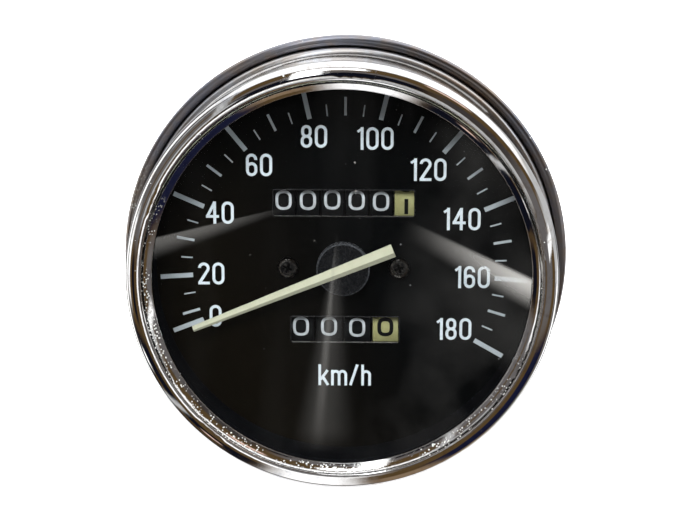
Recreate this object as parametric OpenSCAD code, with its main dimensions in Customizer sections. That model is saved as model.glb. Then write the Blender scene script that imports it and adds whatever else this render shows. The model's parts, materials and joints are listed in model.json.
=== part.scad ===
// Round mechanical motorcycle speedometer with a main counter and a trip counter.
// Everything is drawn along +Z with the case's back face at z = 0 and 12 o'clock at +Y,
// and is then tipped up, so that the dial faces -Y and 12 o'clock is +Z.
// Levels are given from the dial's face: minus is behind it, plus is in front of it.

/* [Housing] */
// Outside diameter of the bezel's straight skirt
bezel_d = 80; // [79.6:0.2:80.4]
// Height of the dial's face above the flat back of the case
dial_z = 44; // [44:0.5:50]
// Level of the bezel's inner lip in front of the dial
lip_level = 13.7; // [13.5:0.1:15]
// Rise from the inner lip to the bezel's crest
crest_rise = 1.6; // [1.4:0.1:1.8]
// Radius of the bezel's opening
opening_r = 35; // [34.6:0.1:35.2]
// Thickness of the housing's sheet metal
sheet = 0.8; // [0.7:0.05:0.8]
// Radius of the case's round corner
case_corner_r = 16; // [15.5:0.5:16]

/* [Mounting] */
// Distance between the two studs
stud_spacing = 40; // [38:1:41]
// Diameter of the studs
stud_d = 6; // [5:0.5:6]
// Length of the studs behind the case
stud_reach = 18; // [15:1:25]
// Diameter of the cable union's thread
union_d = 12; // [11.6:0.2:12]

/* [Dial] */
// Highest number on the dial
top_speed = 180; // [160:20:180]
// Radius on which every mark starts
mark_r = 29.1; // [28.9:0.1:29.3]
// Outer radius of the marks for every 20, 10 and 5 km/h
big_mark_r = 35.4; // [34.8:0.1:35.5]
middle_mark_r = 32.55; // [32:0.05:33]
small_mark_r = 31.3; // [31:0.1:31.8]
// Height of the dial's numbers
number_h = 4.3; // [4.2:0.05:4.5]
// Stroke of the dial's numbers
number_stroke = 0.55; // [0.45:0.05:0.7]

/* [Needle] */
// Reach of the needle's tip from its axis
needle_tip = 31; // [30:0.1:31.2]
// Reach of the needle's tail from its axis
needle_tail = 10.3; // [9:0.1:10.5]
// Angle at which the needle rests, from 3 o'clock, anticlockwise
needle_rest_angle = 202; // [201.5:0.1:203]

/* [Counters] */
// Radius of a number drum
drum_r = 7.6; // [7.4:0.05:7.6]
// Distance from drum to drum in the main counter
main_pitch = 4.68; // [4.66:0.01:4.7]
// Distance from drum to drum in the trip counter
trip_pitch = 5.48; // [5.46:0.01:5.5]

/* [Hidden] */
$fn = 96;
eps = 0.01;

// Running clearance of a shaft in its hole, and the gap between gears at their tips
fit = 0.05;
tip_gap = 0.3;

// Housing radii, from the bezel inwards and outwards
skirt_r = bezel_d / 2;
can_r = skirt_r - sheet;
can_in_r = can_r - sheet;
shoulder_r = 2.9;
crest_level = lip_level + crest_rise;
shoulder_level = crest_level - shoulder_r;
crest_r = skirt_r - shoulder_r;
bead_r = 1.4;
bead_level = -8.3;
flange_r = skirt_r + 0.7;
cup_in_r = skirt_r + 2;
cup_r = cup_in_r + 1;
rim_bead_r = 1.1;
rim_level = -9.4;
cup_wall = 1;
can_gap = 3.8;
flat_r = cup_r - case_corner_r;
corner_level = case_corner_r - dial_z;
can_corner_r = case_corner_r - can_gap;
can_back = -dial_z + can_gap;
can_floor = can_back + sheet;
stud_shoulder_r = stud_d / 2 + 0.2;
// Levels of the stack behind the lip
lens_t = 2;
lens_top = lip_level - 0.4;
lens_level = lens_top - lens_t;
gasket_t = 0.7;
shroud_top = lens_level - gasket_t;
shroud_t = 0.6;
dial_t = 0.8;
wall_foot_r = 36.1;

// Movement plates
front_plate_top = -2;
plate_t = 1.2;
front_plate_back = front_plate_top - plate_t;
rear_plate_top = -28;
rear_plate_t = 1.3;
rear_plate_back = rear_plate_top - rear_plate_t;
bridge_back = can_floor + 0.3;
bridge_t = 0.8;
bridge_top = bridge_back + bridge_t;
bridge_r = 28.4;
pillars = [[25, 16], [-25, 16], [-25, -16], [25, -16]];
bridge_pillars = [[-8, 20], [-22, -10], [22.5, 9.5]];
pillar_r = 1.6;
screw_r = 0.9;
lamp_x = 21;
lamp_r = 4.6;
bulb_r = 3.6;

// Counters: places of their axles, seen from the front, and their level
main_y = 12.5;
trip_y = -12.3;
axle_level = -1.6 - drum_r;
axle_r = 0.9;
main_first_x = 11.96;
trip_first_x = 1.5 * trip_pitch;
main_drum_w = 4.36;
trip_drum_w = 5.16;
pinion_r = 1.7;
pinion_axle_r = 0.6;
pinion_reach = drum_r + pinion_r + tip_gap;
pinion_tilt = 30;
pinion_out = pinion_reach * cos(pinion_tilt);
pinion_level = axle_level - pinion_reach * sin(pinion_tilt);
left_cheek_x = -15;
right_cheek_x = 14.7;
cheek_t = 0.8;

// Gear train: input worm, cross shaft, two risers, two counter gears
train_level = -34.2;
shaft_r = 0.8;
worm_r = 3.7;
cross_gear_r = 4.6;
cross_x = worm_r + cross_gear_r + tip_gap;
riser_x = 17.9;
cross_worm_r = 3.7;
riser_gear_r = riser_x - cross_x - cross_worm_r - tip_gap;
riser_worm_r = 2;
counter_gear_r = 5;
riser_offset = riser_worm_r + counter_gear_r + tip_gap;
main_riser_y = main_y + riser_offset;
trip_riser_y = trip_y - riser_offset;
gear_teeth = 20;
gear_w = 2.4;
reset_x = -18.4;
reset_gear_r = 4;
reset_worm_r = riser_offset - tip_gap - reset_gear_r;
reset_shaft_r = 1.2;
knob_r = 4.5;

// Spindles
spindle_r = 2;
pivot_r = 0.5;
cup_out_r = 13.2;
hub_r = 5.1;
hub_top = 3.6;
ridge_share = 0.62;

function level(z) = dial_z + z;

// Tips the instrument up from its working position on its back
module upright() rotate([90, 0, 0]) children();

// A disc or ring between two levels
module disc(z0, z1, r, hole_r = 0) {
    translate([0, 0, level(z0)])
        difference() {
            cylinder(h = z1 - z0, r = r);
            if (hole_r > 0)
                translate([0, 0, -eps]) cylinder(h = z1 - z0 + 2 * eps, r = hole_r);
        }
}

// A hole through everything between two levels
module drill(x, y, z0, z1, r) translate([x, y, level(z0) - eps]) cylinder(h = z1 - z0 + 2 * eps, r = r);

// A box given by its corners, with levels for its height
module block(x0, x1, y0, y1, z0, z1) {
    translate([x0, y0, level(z0)]) cube([x1 - x0, y1 - y0, z1 - z0]);
}

// Turns a profile drawn as radius and level round the instrument's axis
module turned() translate([0, 0, dial_z]) rotate_extrude($fn = 180) children();

// A quarter of a ring in a profile, about x, y; outward and upward or downward
module quarter(x, y, r_out, r_in, up = 1) {
    intersection() {
        translate([x, y]) difference() {
            circle(r = r_out);
            if (r_in > 0) circle(r = r_in);
        }
        translate([x, up > 0 ? y : y - r_out]) square([r_out, r_out]);
    }
}

// A profile's rectangle from its lower left to its upper right corner
module patch(x0, y0, x1, y1) translate([x0, y0]) square([x1 - x0, y1 - y0]);

// A spur gear's disc with straight slots between its teeth, its axis on +Z
module toothed(r, w, teeth, bore_r) {
    slot_w = PI * r / teeth * 0.9;
    slot_depth = 0.16 * r;
    difference() {
        cylinder(h = w, r = r);
        translate([0, 0, -eps]) cylinder(h = w + 2 * eps, r = bore_r);
        for (i = [0 : teeth - 1])
            rotate([0, 0, 360 * i / teeth])
                translate([r - slot_depth, -slot_w / 2, -eps]) cube([slot_depth + 1, slot_w, w + 2 * eps]);
    }
}

// A worm: a cylinder whose thread is shown by ring grooves, its axis on +Z
module worm(r, length, core_r) {
    pitch = 1.2;
    groove = 0.45;
    turns = floor(length / pitch) - 1;
    rotate_extrude($fn = 48)
        difference() {
            patch(0, 0, r, length);
            for (i = [0 : turns - 1])
                translate([r, pitch * (i + 1)])
                    polygon([[0.1, -groove], [0.1, groove], [-groove, 0.1], [-groove, -0.1]]);
        }
    cylinder(h = length, r = core_r);
}

// Places children with their axis along X, starting at x
module along_x(x, y, z) translate([x, y, level(z)]) rotate([0, 90, 0]) children();

// The bezel's inner band in a profile: a small rolled lip, a hollow slope that gets steeper
// outwards, and a narrow crest. The hollow is an arc through the lip and the crest's flank.
module inner_band() {
    lip_roll = 0.15;
    crest_roll = 0.4;
    steepest = 60;
    foot = [opening_r + lip_roll, lip_level];
    flank = [crest_r - crest_roll * sin(steepest), crest_level - crest_roll * (1 - cos(steepest))];
    run = flank - foot;
    half_bend = steepest - atan2(run.y, run.x);
    hollow_r = norm(run) / (2 * sin(half_bend));
    hollow = flank + hollow_r * [-sin(steepest), cos(steepest)];
    difference() {
        polygon([
            [opening_r, lens_top], [opening_r + 1, lens_top], [crest_r, crest_level - sheet],
            [crest_r, crest_level - crest_roll], flank, foot, [opening_r, lip_level - lip_roll]
        ]);
        translate(hollow) circle(r = hollow_r, $fn = 360);
    }
    translate([crest_r, crest_level - crest_roll]) circle(r = crest_roll);
    translate([opening_r + lip_roll, lip_level - lip_roll]) circle(r = lip_roll);
}

// Bezel: inner band, round shoulder, straight skirt and a bead round the can's flange
module bezel_ring() {
    color("silver") upright() turned() {
        inner_band();
        quarter(crest_r, shoulder_level, shoulder_r, shoulder_r - sheet);
        patch(can_r, bead_level + bead_r - eps, skirt_r, shoulder_level);
        difference() {
            union() {
                quarter(skirt_r, bead_level, bead_r, 0);
                patch(can_r, bead_level - sheet, skirt_r, bead_level + bead_r);
                patch(skirt_r - eps, bead_level - sheet, skirt_r + bead_r, bead_level);
            }
            patch(can_r - 1, bead_level + 0.2, flange_r, bead_level + sheet);
        }
    }
}

module glass_lens() {
    color([0.85, 0.92, 0.95, 0.3]) upright() disc(lens_level, lens_level + lens_t, can_r - 0.4);
}

module lens_gasket() {
    color([0.06, 0.06, 0.06]) upright() disc(shroud_top, lens_level, can_r - 0.3, opening_r + 1.4);
}

// Black funnel between the dial and the glass, with a flange on the can's mouth
module recess_shroud() {
    top_r = opening_r + 0.3;
    color([0.08, 0.08, 0.09]) upright() turned() polygon([
        [wall_foot_r, 0], [wall_foot_r + sheet, 0], [top_r + sheet, shroud_top - shroud_t],
        [can_r - 0.1, shroud_top - shroud_t], [can_r - 0.1, shroud_top], [top_r, shroud_top]
    ]);
}

// Inner can: round wall, flange for the bezel, round corner and a flat back with its holes
module instrument_can() {
    color([0.55, 0.56, 0.58]) upright() difference() {
        turned() {
            patch(can_in_r, corner_level, can_r, shroud_top - shroud_t);
            patch(can_r - eps, bead_level + 0.2, flange_r, bead_level + sheet);
            quarter(flat_r, corner_level, can_corner_r, can_corner_r - sheet, -1);
            patch(0, can_back, flat_r + eps, can_floor);
        }
        drill(0, 0, can_back, can_floor, spindle_r + 1.4);
        for (side = [-1, 1])
            drill(side * lamp_x, 0, can_back, can_floor, lamp_r);
        for (p = bridge_pillars)
            drill(p.x, p.y, can_back, can_floor, screw_r);
        drill(reset_x, trip_riser_y, can_back, can_floor + 1, reset_shaft_r + fit);
    }
}

// Outer chrome case: rolled rim, straight wall, round corner and a flat back with its holes
module case_cup() {
    color("silver") upright() difference() {
        turned() {
            translate([cup_r + 0.7 - rim_bead_r, rim_level]) circle(r = rim_bead_r);
            patch(cup_in_r, corner_level, cup_r, rim_level);
            quarter(flat_r, corner_level, case_corner_r, case_corner_r - cup_wall, -1);
            patch(0, -dial_z, flat_r + eps, -dial_z + cup_wall);
        }
        drill(0, 0, -dial_z, -dial_z + cup_wall, union_d / 2 + 1.6);
        for (side = [-1, 1]) {
            drill(0, side * stud_spacing / 2, -dial_z, -dial_z + cup_wall, stud_shoulder_r);
            drill(side * lamp_x, 0, -dial_z, -dial_z + cup_wall, lamp_r + 0.2);
        }
        drill(reset_x, trip_riser_y, -dial_z, -dial_z + cup_wall + 1, reset_shaft_r + 0.8);
    }
}

// Rubber ring that closes the gap between the bezel's bead and the case's rim
module rim_seal() {
    top = bead_level - sheet;
    color([0.05, 0.05, 0.05]) upright() turned() polygon([
        [can_r, top - 3.9], [cup_in_r, top - 3.9], [cup_in_r, top - 1.6],
        [skirt_r + bead_r, top - 1.1], [skirt_r + bead_r, top], [can_r, top]
    ]);
}

// Rubber washers between the studs' heads and the case's back
module damper_washers() {
    color([0.07, 0.07, 0.07]) upright()
        for (side = [-1, 1])
            translate([0, side * stud_spacing / 2, 0])
                disc(-dial_z + cup_wall, can_back - 1.2, 6, stud_shoulder_r);
}

module mounting_studs() {
    color([0.72, 0.68, 0.5]) upright()
        for (side = [-1, 1])
            translate([0, side * stud_spacing / 2, 0]) {
                disc(can_back - 1.2, can_back, 5);
                disc(-dial_z, can_back - 1.2, stud_shoulder_r);
                disc(-dial_z - stud_reach, -dial_z, stud_d / 2);
                translate([0, 0, -stud_reach - 0.8])
                    cylinder(h = 0.8, r1 = stud_d / 2 - 0.8, r2 = stud_d / 2);
            }
}

// Union for the drive cable: flange on the can, neck through the case, thread and open mouth
module cable_union() {
    neck = -dial_z - 1;
    mouth = neck - 11.5;
    thread_r = union_d / 2;
    color([0.66, 0.66, 0.68]) upright() difference() {
        union() {
            disc(can_back - 1.6, can_back, 9);
            disc(neck, can_back - 1.6, thread_r + 1.2);
            disc(mouth, neck, thread_r);
        }
        drill(0, 0, mouth, can_back, spindle_r + 1.4);
        drill(0, 0, mouth, mouth + 6.3, 4.2);
    }
}

// Two plain bushes for the input spindle, one in the union and one in the rear plate
module spindle_bushes() {
    color([0.75, 0.55, 0.25]) upright() {
        disc(-dial_z - 6.2, can_back, spindle_r + 1.4, spindle_r + fit);
        disc(rear_plate_back - 0.6, rear_plate_top + 0.8, spindle_r + 2, spindle_r + fit);
    }
}

// Bulb holders, each with a flange that sits between the case and the can
module lamp_holders() {
    color([0.1, 0.1, 0.1]) upright()
        for (side = [-1, 1])
            translate([side * lamp_x, 0, 0]) difference() {
                union() {
                    disc(-dial_z - 3, can_floor + 3, lamp_r);
                    disc(-dial_z + cup_wall, can_back, lamp_r + 1.2);
                }
                drill(0, 0, can_floor - 1, can_floor + 3, 3.2);
            }
}

module lamp_bulbs() {
    base = can_floor - 1;
    color([0.95, 0.93, 0.85]) upright()
        for (side = [-1, 1])
            translate([side * lamp_x, 0, 0]) {
                disc(base, can_floor + 3, 3.2);
                disc(can_floor + 3, can_floor + 10, bulb_r);
                translate([0, 0, level(can_floor + 10)]) intersection() {
                    sphere(r = bulb_r);
                    cylinder(h = bulb_r, r = bulb_r);
                }
            }
}

module lamp_terminals() {
    blade = [0.6, 3, 6];
    color([0.78, 0.64, 0.3]) upright()
        for (side = [-1, 1], leg = [-1, 1])
            translate([side * lamp_x + leg * 1.8 - blade.x / 2, -blade.y / 2, -3 - blade.z]) cube(blade);
}

// Angles of the marks, from 3 o'clock, anticlockwise. 90 km/h is at the top, and the spacing
// closes up a little near the top speed.
top_angle = 89.27;
function mark_angle(v) =
    v == 0 ? 201.2
    : v <= 90 ? top_angle + 1.346 * (90 - v)
    : v <= 160 ? top_angle - 1.335 * (v - 90)
    : top_angle - 1.335 * 70 - 1.271 * (v - 160);

module mark(v) {
    big = v % 20 == 0;
    middle = v % 10 == 0;
    r_out = big ? big_mark_r : middle ? middle_mark_r : small_mark_r;
    w = big ? 0.88 : middle ? 0.49 : 0.26;
    rotate([0, 0, mark_angle(v)]) translate([mark_r, -w / 2]) square([r_out - mark_r, w]);
}

// Strokes of the numbers. A number fills a box from 0, 0 to w, h, and t is the stroke.
module bar(x0, y0, x1, y1, t) {
    length = norm([x1 - x0, y1 - y0]);
    translate([x0, y0]) rotate([0, 0, atan2(y1 - y0, x1 - x0)])
        translate([0, -t / 2]) square([length, t]);
}

module loop(x, y, w, h, t) {
    r = w / 2;
    translate([x, y]) difference() {
        union() {
            translate([r, r]) circle(r = r);
            translate([r, h - r]) circle(r = r);
            translate([0, r]) square([w, h - 2 * r]);
        }
        translate([r, r]) circle(r = r - t);
        translate([r, h - r]) circle(r = r - t);
        translate([t, r]) square([w - 2 * t, h - 2 * r]);
    }
}

module hook(x, y, r, t, from, to) {
    far = 3 * r;
    mid = (from + to) / 2;
    translate([x, y]) intersection() {
        difference() {
            circle(r = r);
            circle(r = r - t);
        }
        polygon([
            [0, 0], far * [cos(from), sin(from)], far * [cos(mid), sin(mid)], far * [cos(to), sin(to)]
        ]);
    }
}

module digit(d, h, w, t) {
    r = w / 2;
    if (d == 0)
        loop(0, 0, w, h, t);
    if (d == 1) {
        translate([w - t, 0]) square([t, h]);
        bar(w - t / 2, h - t / 2, w - 1.5 * t - 0.3, h - 1.6 * t, t * 0.85);
    }
    if (d == 2) {
        turn = -25;
        hook(r, h - r, r, t, turn, 175);
        way = [cos(turn), sin(turn)];
        polygon([[r, h - r] + r * way, [r, h - r] + (r - t) * way, [0, t * 0.8], [t * 1.25, t * 0.8]]);
        square([w, t * 0.95]);
    }
    if (d == 4) {
        translate([w - 2 * t, 0]) square([t, h]);
        bar(w - 1.55 * t, h - 0.2, t * 0.4, h * 0.31, t);
        translate([0, h * 0.27]) square([w, t * 0.95]);
    }
    if (d == 6) {
        loop(0, 0, w, h * 0.62, t);
        translate([0, r]) square([t, h - 2 * r]);
        hook(r, h - r, r, t, -8, 180);
    }
    if (d == 8) {
        inset = 0.09;
        waist = h * 0.57;
        loop(0, 0, w, waist, t);
        loop(inset, waist - t, w - 2 * inset, h - waist + t, t);
    }
}

// Widths of the digits, and the place of digit i in its number
function digit_w(d) = number_h * (d == 0 ? 0.54 : d == 1 ? 0.28 : d == 2 ? 0.52 : d == 4 ? 0.58 : 0.5);
digit_gap = 0.52;
function digit_x(digits, i) = i == 0 ? 0 : digit_x(digits, i - 1) + digit_w(digits[i - 1]) + digit_gap;

// A number centred on x, y, from its digits
module number(digits, x, y) {
    total = digit_x(digits, len(digits)) - digit_gap;
    for (i = [0 : len(digits) - 1])
        translate([x - total / 2 + digit_x(digits, i), y - number_h / 2])
            digit(digits[i], number_h, digit_w(digits[i]), number_stroke);
}

// The unit, km/h, in plain strokes. The m is two arches and the h is one.
module unit_sign() {
    h = 4.19;
    x_h = 3.09;
    t = 0.52;
    m_x = 2.47;
    m_pitch = 1.3;
    slash_x = 6.22;
    slash_run = 1.36;
    h_x = 8.36;
    module arch(x, pitch) {
        r = (pitch + t) / 2;
        hook(x + r, x_h - r, r, t, 0, 180);
        translate([x + pitch, 0]) square([t, x_h - r]);
    }
    translate([-4.89, -23.59]) {
        square([t, h]);
        bar(0.45, 1.15, 1.78, x_h - 0.05, t);
        bar(0.85, 1.72, 1.87, 0.05, t);
        translate([m_x, 0]) square([t, x_h]);
        for (i = [0, 1])
            arch(m_x + i * m_pitch, m_pitch);
        bar(slash_x, 0.05, slash_x + slash_run, h, t);
        translate([h_x, 0]) square([t, h]);
        arch(h_x, 1.35);
    }
}

// Printed marks, numbers and unit, a thin layer on the dial
module dial_markings() {
    ink = 0.06;
    color([0.72, 0.78, 0.84]) upright() translate([0, 0, dial_z]) linear_extrude(height = ink) {
        for (v = [10 : 5 : top_speed])
            mark(v);
        mark(0);
        number([0], -24.8, -9.85);
        number([2, 0], -25.52, -1.48);
        number([4, 0], -23.68, 10.39);
        number([6, 0], -16.07, 19.61);
        number([8, 0], -5.6, 25.08);
        number([1, 0, 0], 6.04, 24.71);
        number([1, 2, 0], 16.14, 18.82);
        number([1, 4, 0], 22.63, 9.36);
        number([1, 6, 0], 24.77, -1.92);
        if (top_speed > 160)
            number([1, 8, 0], 21.37, -12.16);
        unit_sign();
    }
}

// Windows in the dial for the two counters
main_window = [-13.45, 13.5, 9.85, 14.81];
trip_window = [-10.13, 10.69, -14.89, -9.92];
screw_x = 10.7;
screw_y = -0.2;

module dial_plate() {
    color([0.07, 0.06, 0.055]) upright() difference() {
        disc(-dial_t, 0, can_in_r - 0.8, 1.6);
        for (w = [main_window, trip_window])
            block(w[0], w[1], w[2], w[3], -dial_t - 1, 1);
        for (side = [-1, 1])
            drill(side * screw_x, screw_y, -dial_t, 0, 1);
    }
}

// Pan-head screws: the head's edge is rounded and its cross recess has short wide arms
module dial_screws() {
    head_r = 2.05;
    head_h = 1.15;
    round_r = 0.7;
    arm = 0.95;
    arm_w = 0.5;
    recess_floor = 0.35;
    color([0.12, 0.12, 0.12]) upright()
        for (side = [-1, 1])
            translate([side * screw_x, screw_y, 0]) difference() {
                union() {
                    translate([0, 0, dial_z]) rotate_extrude($fn = 48) {
                        patch(0, 0, head_r, head_h - round_r);
                        patch(0, 0, head_r - round_r, head_h);
                        quarter(head_r - round_r, head_h - round_r, round_r, 0);
                    }
                    disc(front_plate_back, 0, 1);
                }
                rotate([0, 0, side * 20]) {
                    block(-arm, arm, -arm_w / 2, arm_w / 2, recess_floor, head_h + 1);
                    block(-arm_w / 2, arm_w / 2, -arm, arm, recess_floor, head_h + 1);
                }
            }
}

// Flat spiral spring, drawn as half turns that grow by half a pitch each
collet_r = 1.2;
spring_strip = 0.12;
spring_start_r = collet_r + spring_strip / 2;
spring_pitch = 0.55;
spring_half_turns = 11;
spring_h = 0.8;
spring_level = -6.2;
spring_end_x = -(spring_start_r + (spring_half_turns - 1) * spring_pitch / 2);
arm_top = front_plate_back - 1;
arm_t = 0.6;
arm_reach = 3;

// Front plate of the movement: windows for the drums, bosses for the dial, bearings,
// a tab that stops the needle's arm and a tab that holds the spring's outer end
module front_plate() {
    stop_r = 2.3;
    stop_angle = 24;
    color([0.7, 0.66, 0.52]) upright() difference() {
        union() {
            disc(front_plate_back, front_plate_top, 35);
            for (side = [-1, 1])
                translate([side * screw_x, screw_y, 0]) disc(front_plate_top, -dial_t, 2.4);
            rotate([0, 0, stop_angle])
                block(stop_r, stop_r + 1, -0.35, 0.35, arm_top - arm_t - 0.2, front_plate_back + eps);
            translate([spring_end_x, 0, 0])
                block(-0.3, 0.3, -0.6, 0, spring_level - 0.2, front_plate_back + eps);
        }
        block(left_cheek_x + cheek_t, right_cheek_x, 4.4, main_y + drum_r + 0.4, -6, 0);
        block(-11.4, 11.4, trip_y - drum_r - 0.4, -4.2, -6, 0);
        drill(0, 0, front_plate_back, front_plate_top, 2);
        for (side = [-1, 1])
            drill(side * screw_x, screw_y, front_plate_back, -dial_t, 1);
        drill(riser_x, main_riser_y, front_plate_back, front_plate_top, shaft_r + fit);
        drill(riser_x, trip_riser_y, front_plate_back, front_plate_top, shaft_r + fit);
        drill(reset_x, trip_riser_y, front_plate_back, front_plate_top, shaft_r + fit);
        for (p = pillars)
            drill(p.x, p.y, front_plate_back, front_plate_top, screw_r);
    }
}

module rear_plate() {
    color([0.7, 0.66, 0.52]) upright() difference() {
        disc(rear_plate_back, rear_plate_top, 33, spindle_r + 2);
        for (side = [-1, 1])
            drill(side * lamp_x, 0, rear_plate_back, rear_plate_top, lamp_r);
        drill(riser_x, main_riser_y, rear_plate_back, rear_plate_top, shaft_r + 0.4);
        drill(riser_x, trip_riser_y, rear_plate_back, rear_plate_top, shaft_r + 0.4);
        drill(reset_x, trip_riser_y, rear_plate_back, rear_plate_top, reset_shaft_r + 0.3);
        for (p = pillars)
            drill(p.x, p.y, rear_plate_back, rear_plate_top, screw_r);
    }
}

// Bridge behind the gears: three feet, the risers' lower bearings and two lugs for the cross shaft
module gear_bridge() {
    lug_y = 24.3;
    lug_t = 1;
    color([0.7, 0.66, 0.52]) upright() difference() {
        union() {
            disc(bridge_back, bridge_top, bridge_r);
            for (p = bridge_pillars)
                translate([p.x, p.y, 0]) disc(can_floor, bridge_back + eps, 2.4);
            for (side = [-1, 1])
                block(cross_x - 1.5, cross_x + 1.5, side * lug_y - lug_t / 2, side * lug_y + lug_t / 2,
                    bridge_top - eps, train_level + 1.5);
        }
        drill(0, 0, bridge_back, bridge_top, worm_r + 0.5);
        for (side = [-1, 1])
            drill(side * lamp_x, 0, bridge_back, bridge_top, lamp_r + 0.4);
        for (p = bridge_pillars)
            drill(p.x, p.y, can_floor, bridge_top, screw_r);
        drill(riser_x, main_riser_y, bridge_back, bridge_top, shaft_r + fit);
        drill(riser_x, trip_riser_y, bridge_back, bridge_top, shaft_r + fit);
        drill(reset_x, trip_riser_y, bridge_back, bridge_top, reset_shaft_r + 0.4);
        translate([cross_x, 0, 0])
            block(-cross_gear_r - 0.4, cross_gear_r + 0.4, -1.7, 1.7, bridge_back - 1, bridge_top + 1);
        translate([cross_x, -lug_y - 2, level(train_level)]) rotate([-90, 0, 0])
            cylinder(h = 2 * lug_y + 4, r = shaft_r + fit);
    }
}

// Four pillars between the plates and three between the bridge and the rear plate
module plate_pillars() {
    color([0.75, 0.75, 0.77]) upright() {
        for (p = pillars)
            translate([p.x, p.y, 0]) disc(rear_plate_top, front_plate_back, pillar_r, screw_r);
        for (p = bridge_pillars)
            translate([p.x, p.y, 0]) difference() {
                disc(bridge_top, rear_plate_back, pillar_r);
                drill(0, 0, bridge_top, bridge_top + 3, screw_r);
            }
    }
}

// A slotted screw whose head stands on the plane z = 0 and whose shank goes down
module slotted_screw(shank) {
    head_h = 1;
    head_r = 2;
    slot_w = 0.5;
    difference() {
        union() {
            cylinder(h = head_h, r = head_r);
            translate([0, 0, -shank]) cylinder(h = shank + eps, r = screw_r);
        }
        translate([-head_r - 1, -slot_w / 2, head_h / 2]) cube([2 * head_r + 2, slot_w, head_h]);
    }
}

// Screws of both plates, and the three that hold the movement to the can's back
module plate_screws() {
    color([0.6, 0.6, 0.62]) upright() {
        for (p = pillars) {
            translate([p.x, p.y, level(front_plate_top)]) slotted_screw(6);
            translate([p.x, p.y, level(rear_plate_back)]) rotate([180, 0, 0]) slotted_screw(6);
        }
        for (p = bridge_pillars)
            translate([p.x, p.y, level(can_back)]) rotate([180, 0, 0]) slotted_screw(4.5);
    }
}

// A side plate of the counters, with holes for the two axles and the two pinion axles
module cheek(x, trip_hole_r) {
    reach = main_y + pinion_out + 1.6;
    difference() {
        block(x, x + cheek_t, -reach, reach, axle_level - drum_r, front_plate_back);
        along_x(x - 1, main_y, axle_level) cylinder(h = cheek_t + 2, r = axle_r + fit);
        along_x(x - 1, trip_y, axle_level) cylinder(h = cheek_t + 2, r = trip_hole_r);
        along_x(x - 1, main_y + pinion_out, pinion_level) cylinder(h = cheek_t + 2, r = pinion_axle_r);
        along_x(x - 1, trip_y - pinion_out, pinion_level) cylinder(h = cheek_t + 2, r = pinion_axle_r);
    }
}

sleeve_r = axle_r + 0.8;

module counter_cheeks() {
    color([0.72, 0.7, 0.6]) upright() {
        cheek(left_cheek_x, axle_r + fit);
        cheek(right_cheek_x, sleeve_r + fit);
    }
}

module needle_bearing() {
    color([0.78, 0.6, 0.3]) upright() disc(front_plate_back - 0.6, front_plate_top + 0.4, 2, pivot_r + fit);
}

// Steel ring round the aluminium cup, which closes the magnet's field
module flux_ring() {
    color([0.5, 0.5, 0.52]) upright() disc(rear_plate_top, -18.2, cup_out_r + 2.2, cup_out_r + 0.8);
}

// Spring wound from the collet outwards, each half turn about the centre of its own
module hairspring() {
    color([0.8, 0.75, 0.55]) upright() translate([0, 0, level(spring_level)])
        for (k = [0 : spring_half_turns - 1]) {
            r = spring_start_r + k * spring_pitch / 2;
            odd = k % 2;
            translate([odd * spring_pitch / 2, 0, 0]) rotate([0, 0, odd * 180])
                rotate_extrude(angle = 180)
                    translate([r - spring_strip / 2, 0]) square([spring_strip, spring_h]);
        }
}

module pinion_axles() {
    length = right_cheek_x - left_cheek_x + cheek_t;
    color([0.75, 0.75, 0.77]) upright() {
        along_x(left_cheek_x, main_y + pinion_out, pinion_level) cylinder(h = length, r = pinion_axle_r);
        along_x(left_cheek_x, trip_y - pinion_out, pinion_level) cylinder(h = length, r = pinion_axle_r);
    }
}

// Needle: a folded bar with a ridge nearer one edge; both slopes and both edges run to one far point
module needle() {
    tail_w = 2.55;
    tip_w = 1.12;
    ridge_h = 0.75;
    edge_h = 0.3;
    taper = tip_w / tail_w;
    function section(x, w, h) = [
        [x, -w / 2, 0], [x, w / 2, 0], [x, w / 2, edge_h],
        [x, w / 2 - ridge_share * w, edge_h + h], [x, -w / 2, edge_h]
    ];
    points = concat(section(-needle_tail, tail_w, ridge_h), section(needle_tip, tip_w, ridge_h * taper));
    sides = [for (i = [0 : 4]) [i, i + 5, (i + 1) % 5 + 5, (i + 1) % 5]];
    color([0.87, 0.89, 0.74]) upright()
        translate([0, 0, level(hub_top)]) rotate([0, 0, needle_rest_angle])
            mirror([0, 1, 0]) polyhedron(points, concat([[0, 1, 2, 3, 4], [9, 8, 7, 6, 5]], sides));
}

module needle_hub() {
    edge = 0.35;
    color([0.06, 0.06, 0.06]) upright() difference() {
        union() {
            disc(1.2, hub_top - edge, hub_r);
            translate([0, 0, level(hub_top - edge)]) cylinder(h = edge, r1 = hub_r, r2 = hub_r - 0.8 * edge);
            disc(0.3, 1.2, 1.4);
        }
        drill(0, 0, 0.3, 3, pivot_r);
    }
}

// Spindle of the needle with the spring's collet and the stop arm
module needle_spindle() {
    color([0.78, 0.78, 0.8]) upright() {
        disc(-19.6, 3, pivot_r);
        disc(spring_level, arm_top, collet_r);
        block(0, arm_reach, -0.3, 0.3, arm_top - arm_t, arm_top);
    }
}

module drag_cup() {
    wall = 0.6;
    color([0.8, 0.8, 0.82]) upright() {
        disc(-17.8, -17.2, cup_out_r, pivot_r);
        disc(-25, -17.8 + eps, cup_out_r, cup_out_r - wall);
    }
}

// Input spindle: pivot hole, magnet seat, worm and the square socket for the cable
module input_spindle() {
    rear = -dial_z - 11.2;
    socket = 2.7;
    color([0.7, 0.7, 0.72]) upright() difference() {
        union() {
            disc(rear, -19.2, spindle_r);
            disc(rear, -dial_z - 6.6, spindle_r + 0.6);
            disc(-25.6, -24.8, spindle_r + 1.4);
            translate([0, 0, level(train_level - 3)]) worm(worm_r, 6, spindle_r);
        }
        drill(0, 0, -20.2, -19.2, pivot_r + fit);
        block(-socket / 2, socket / 2, -socket / 2, socket / 2, rear - 1, rear + 4);
    }
}

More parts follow.
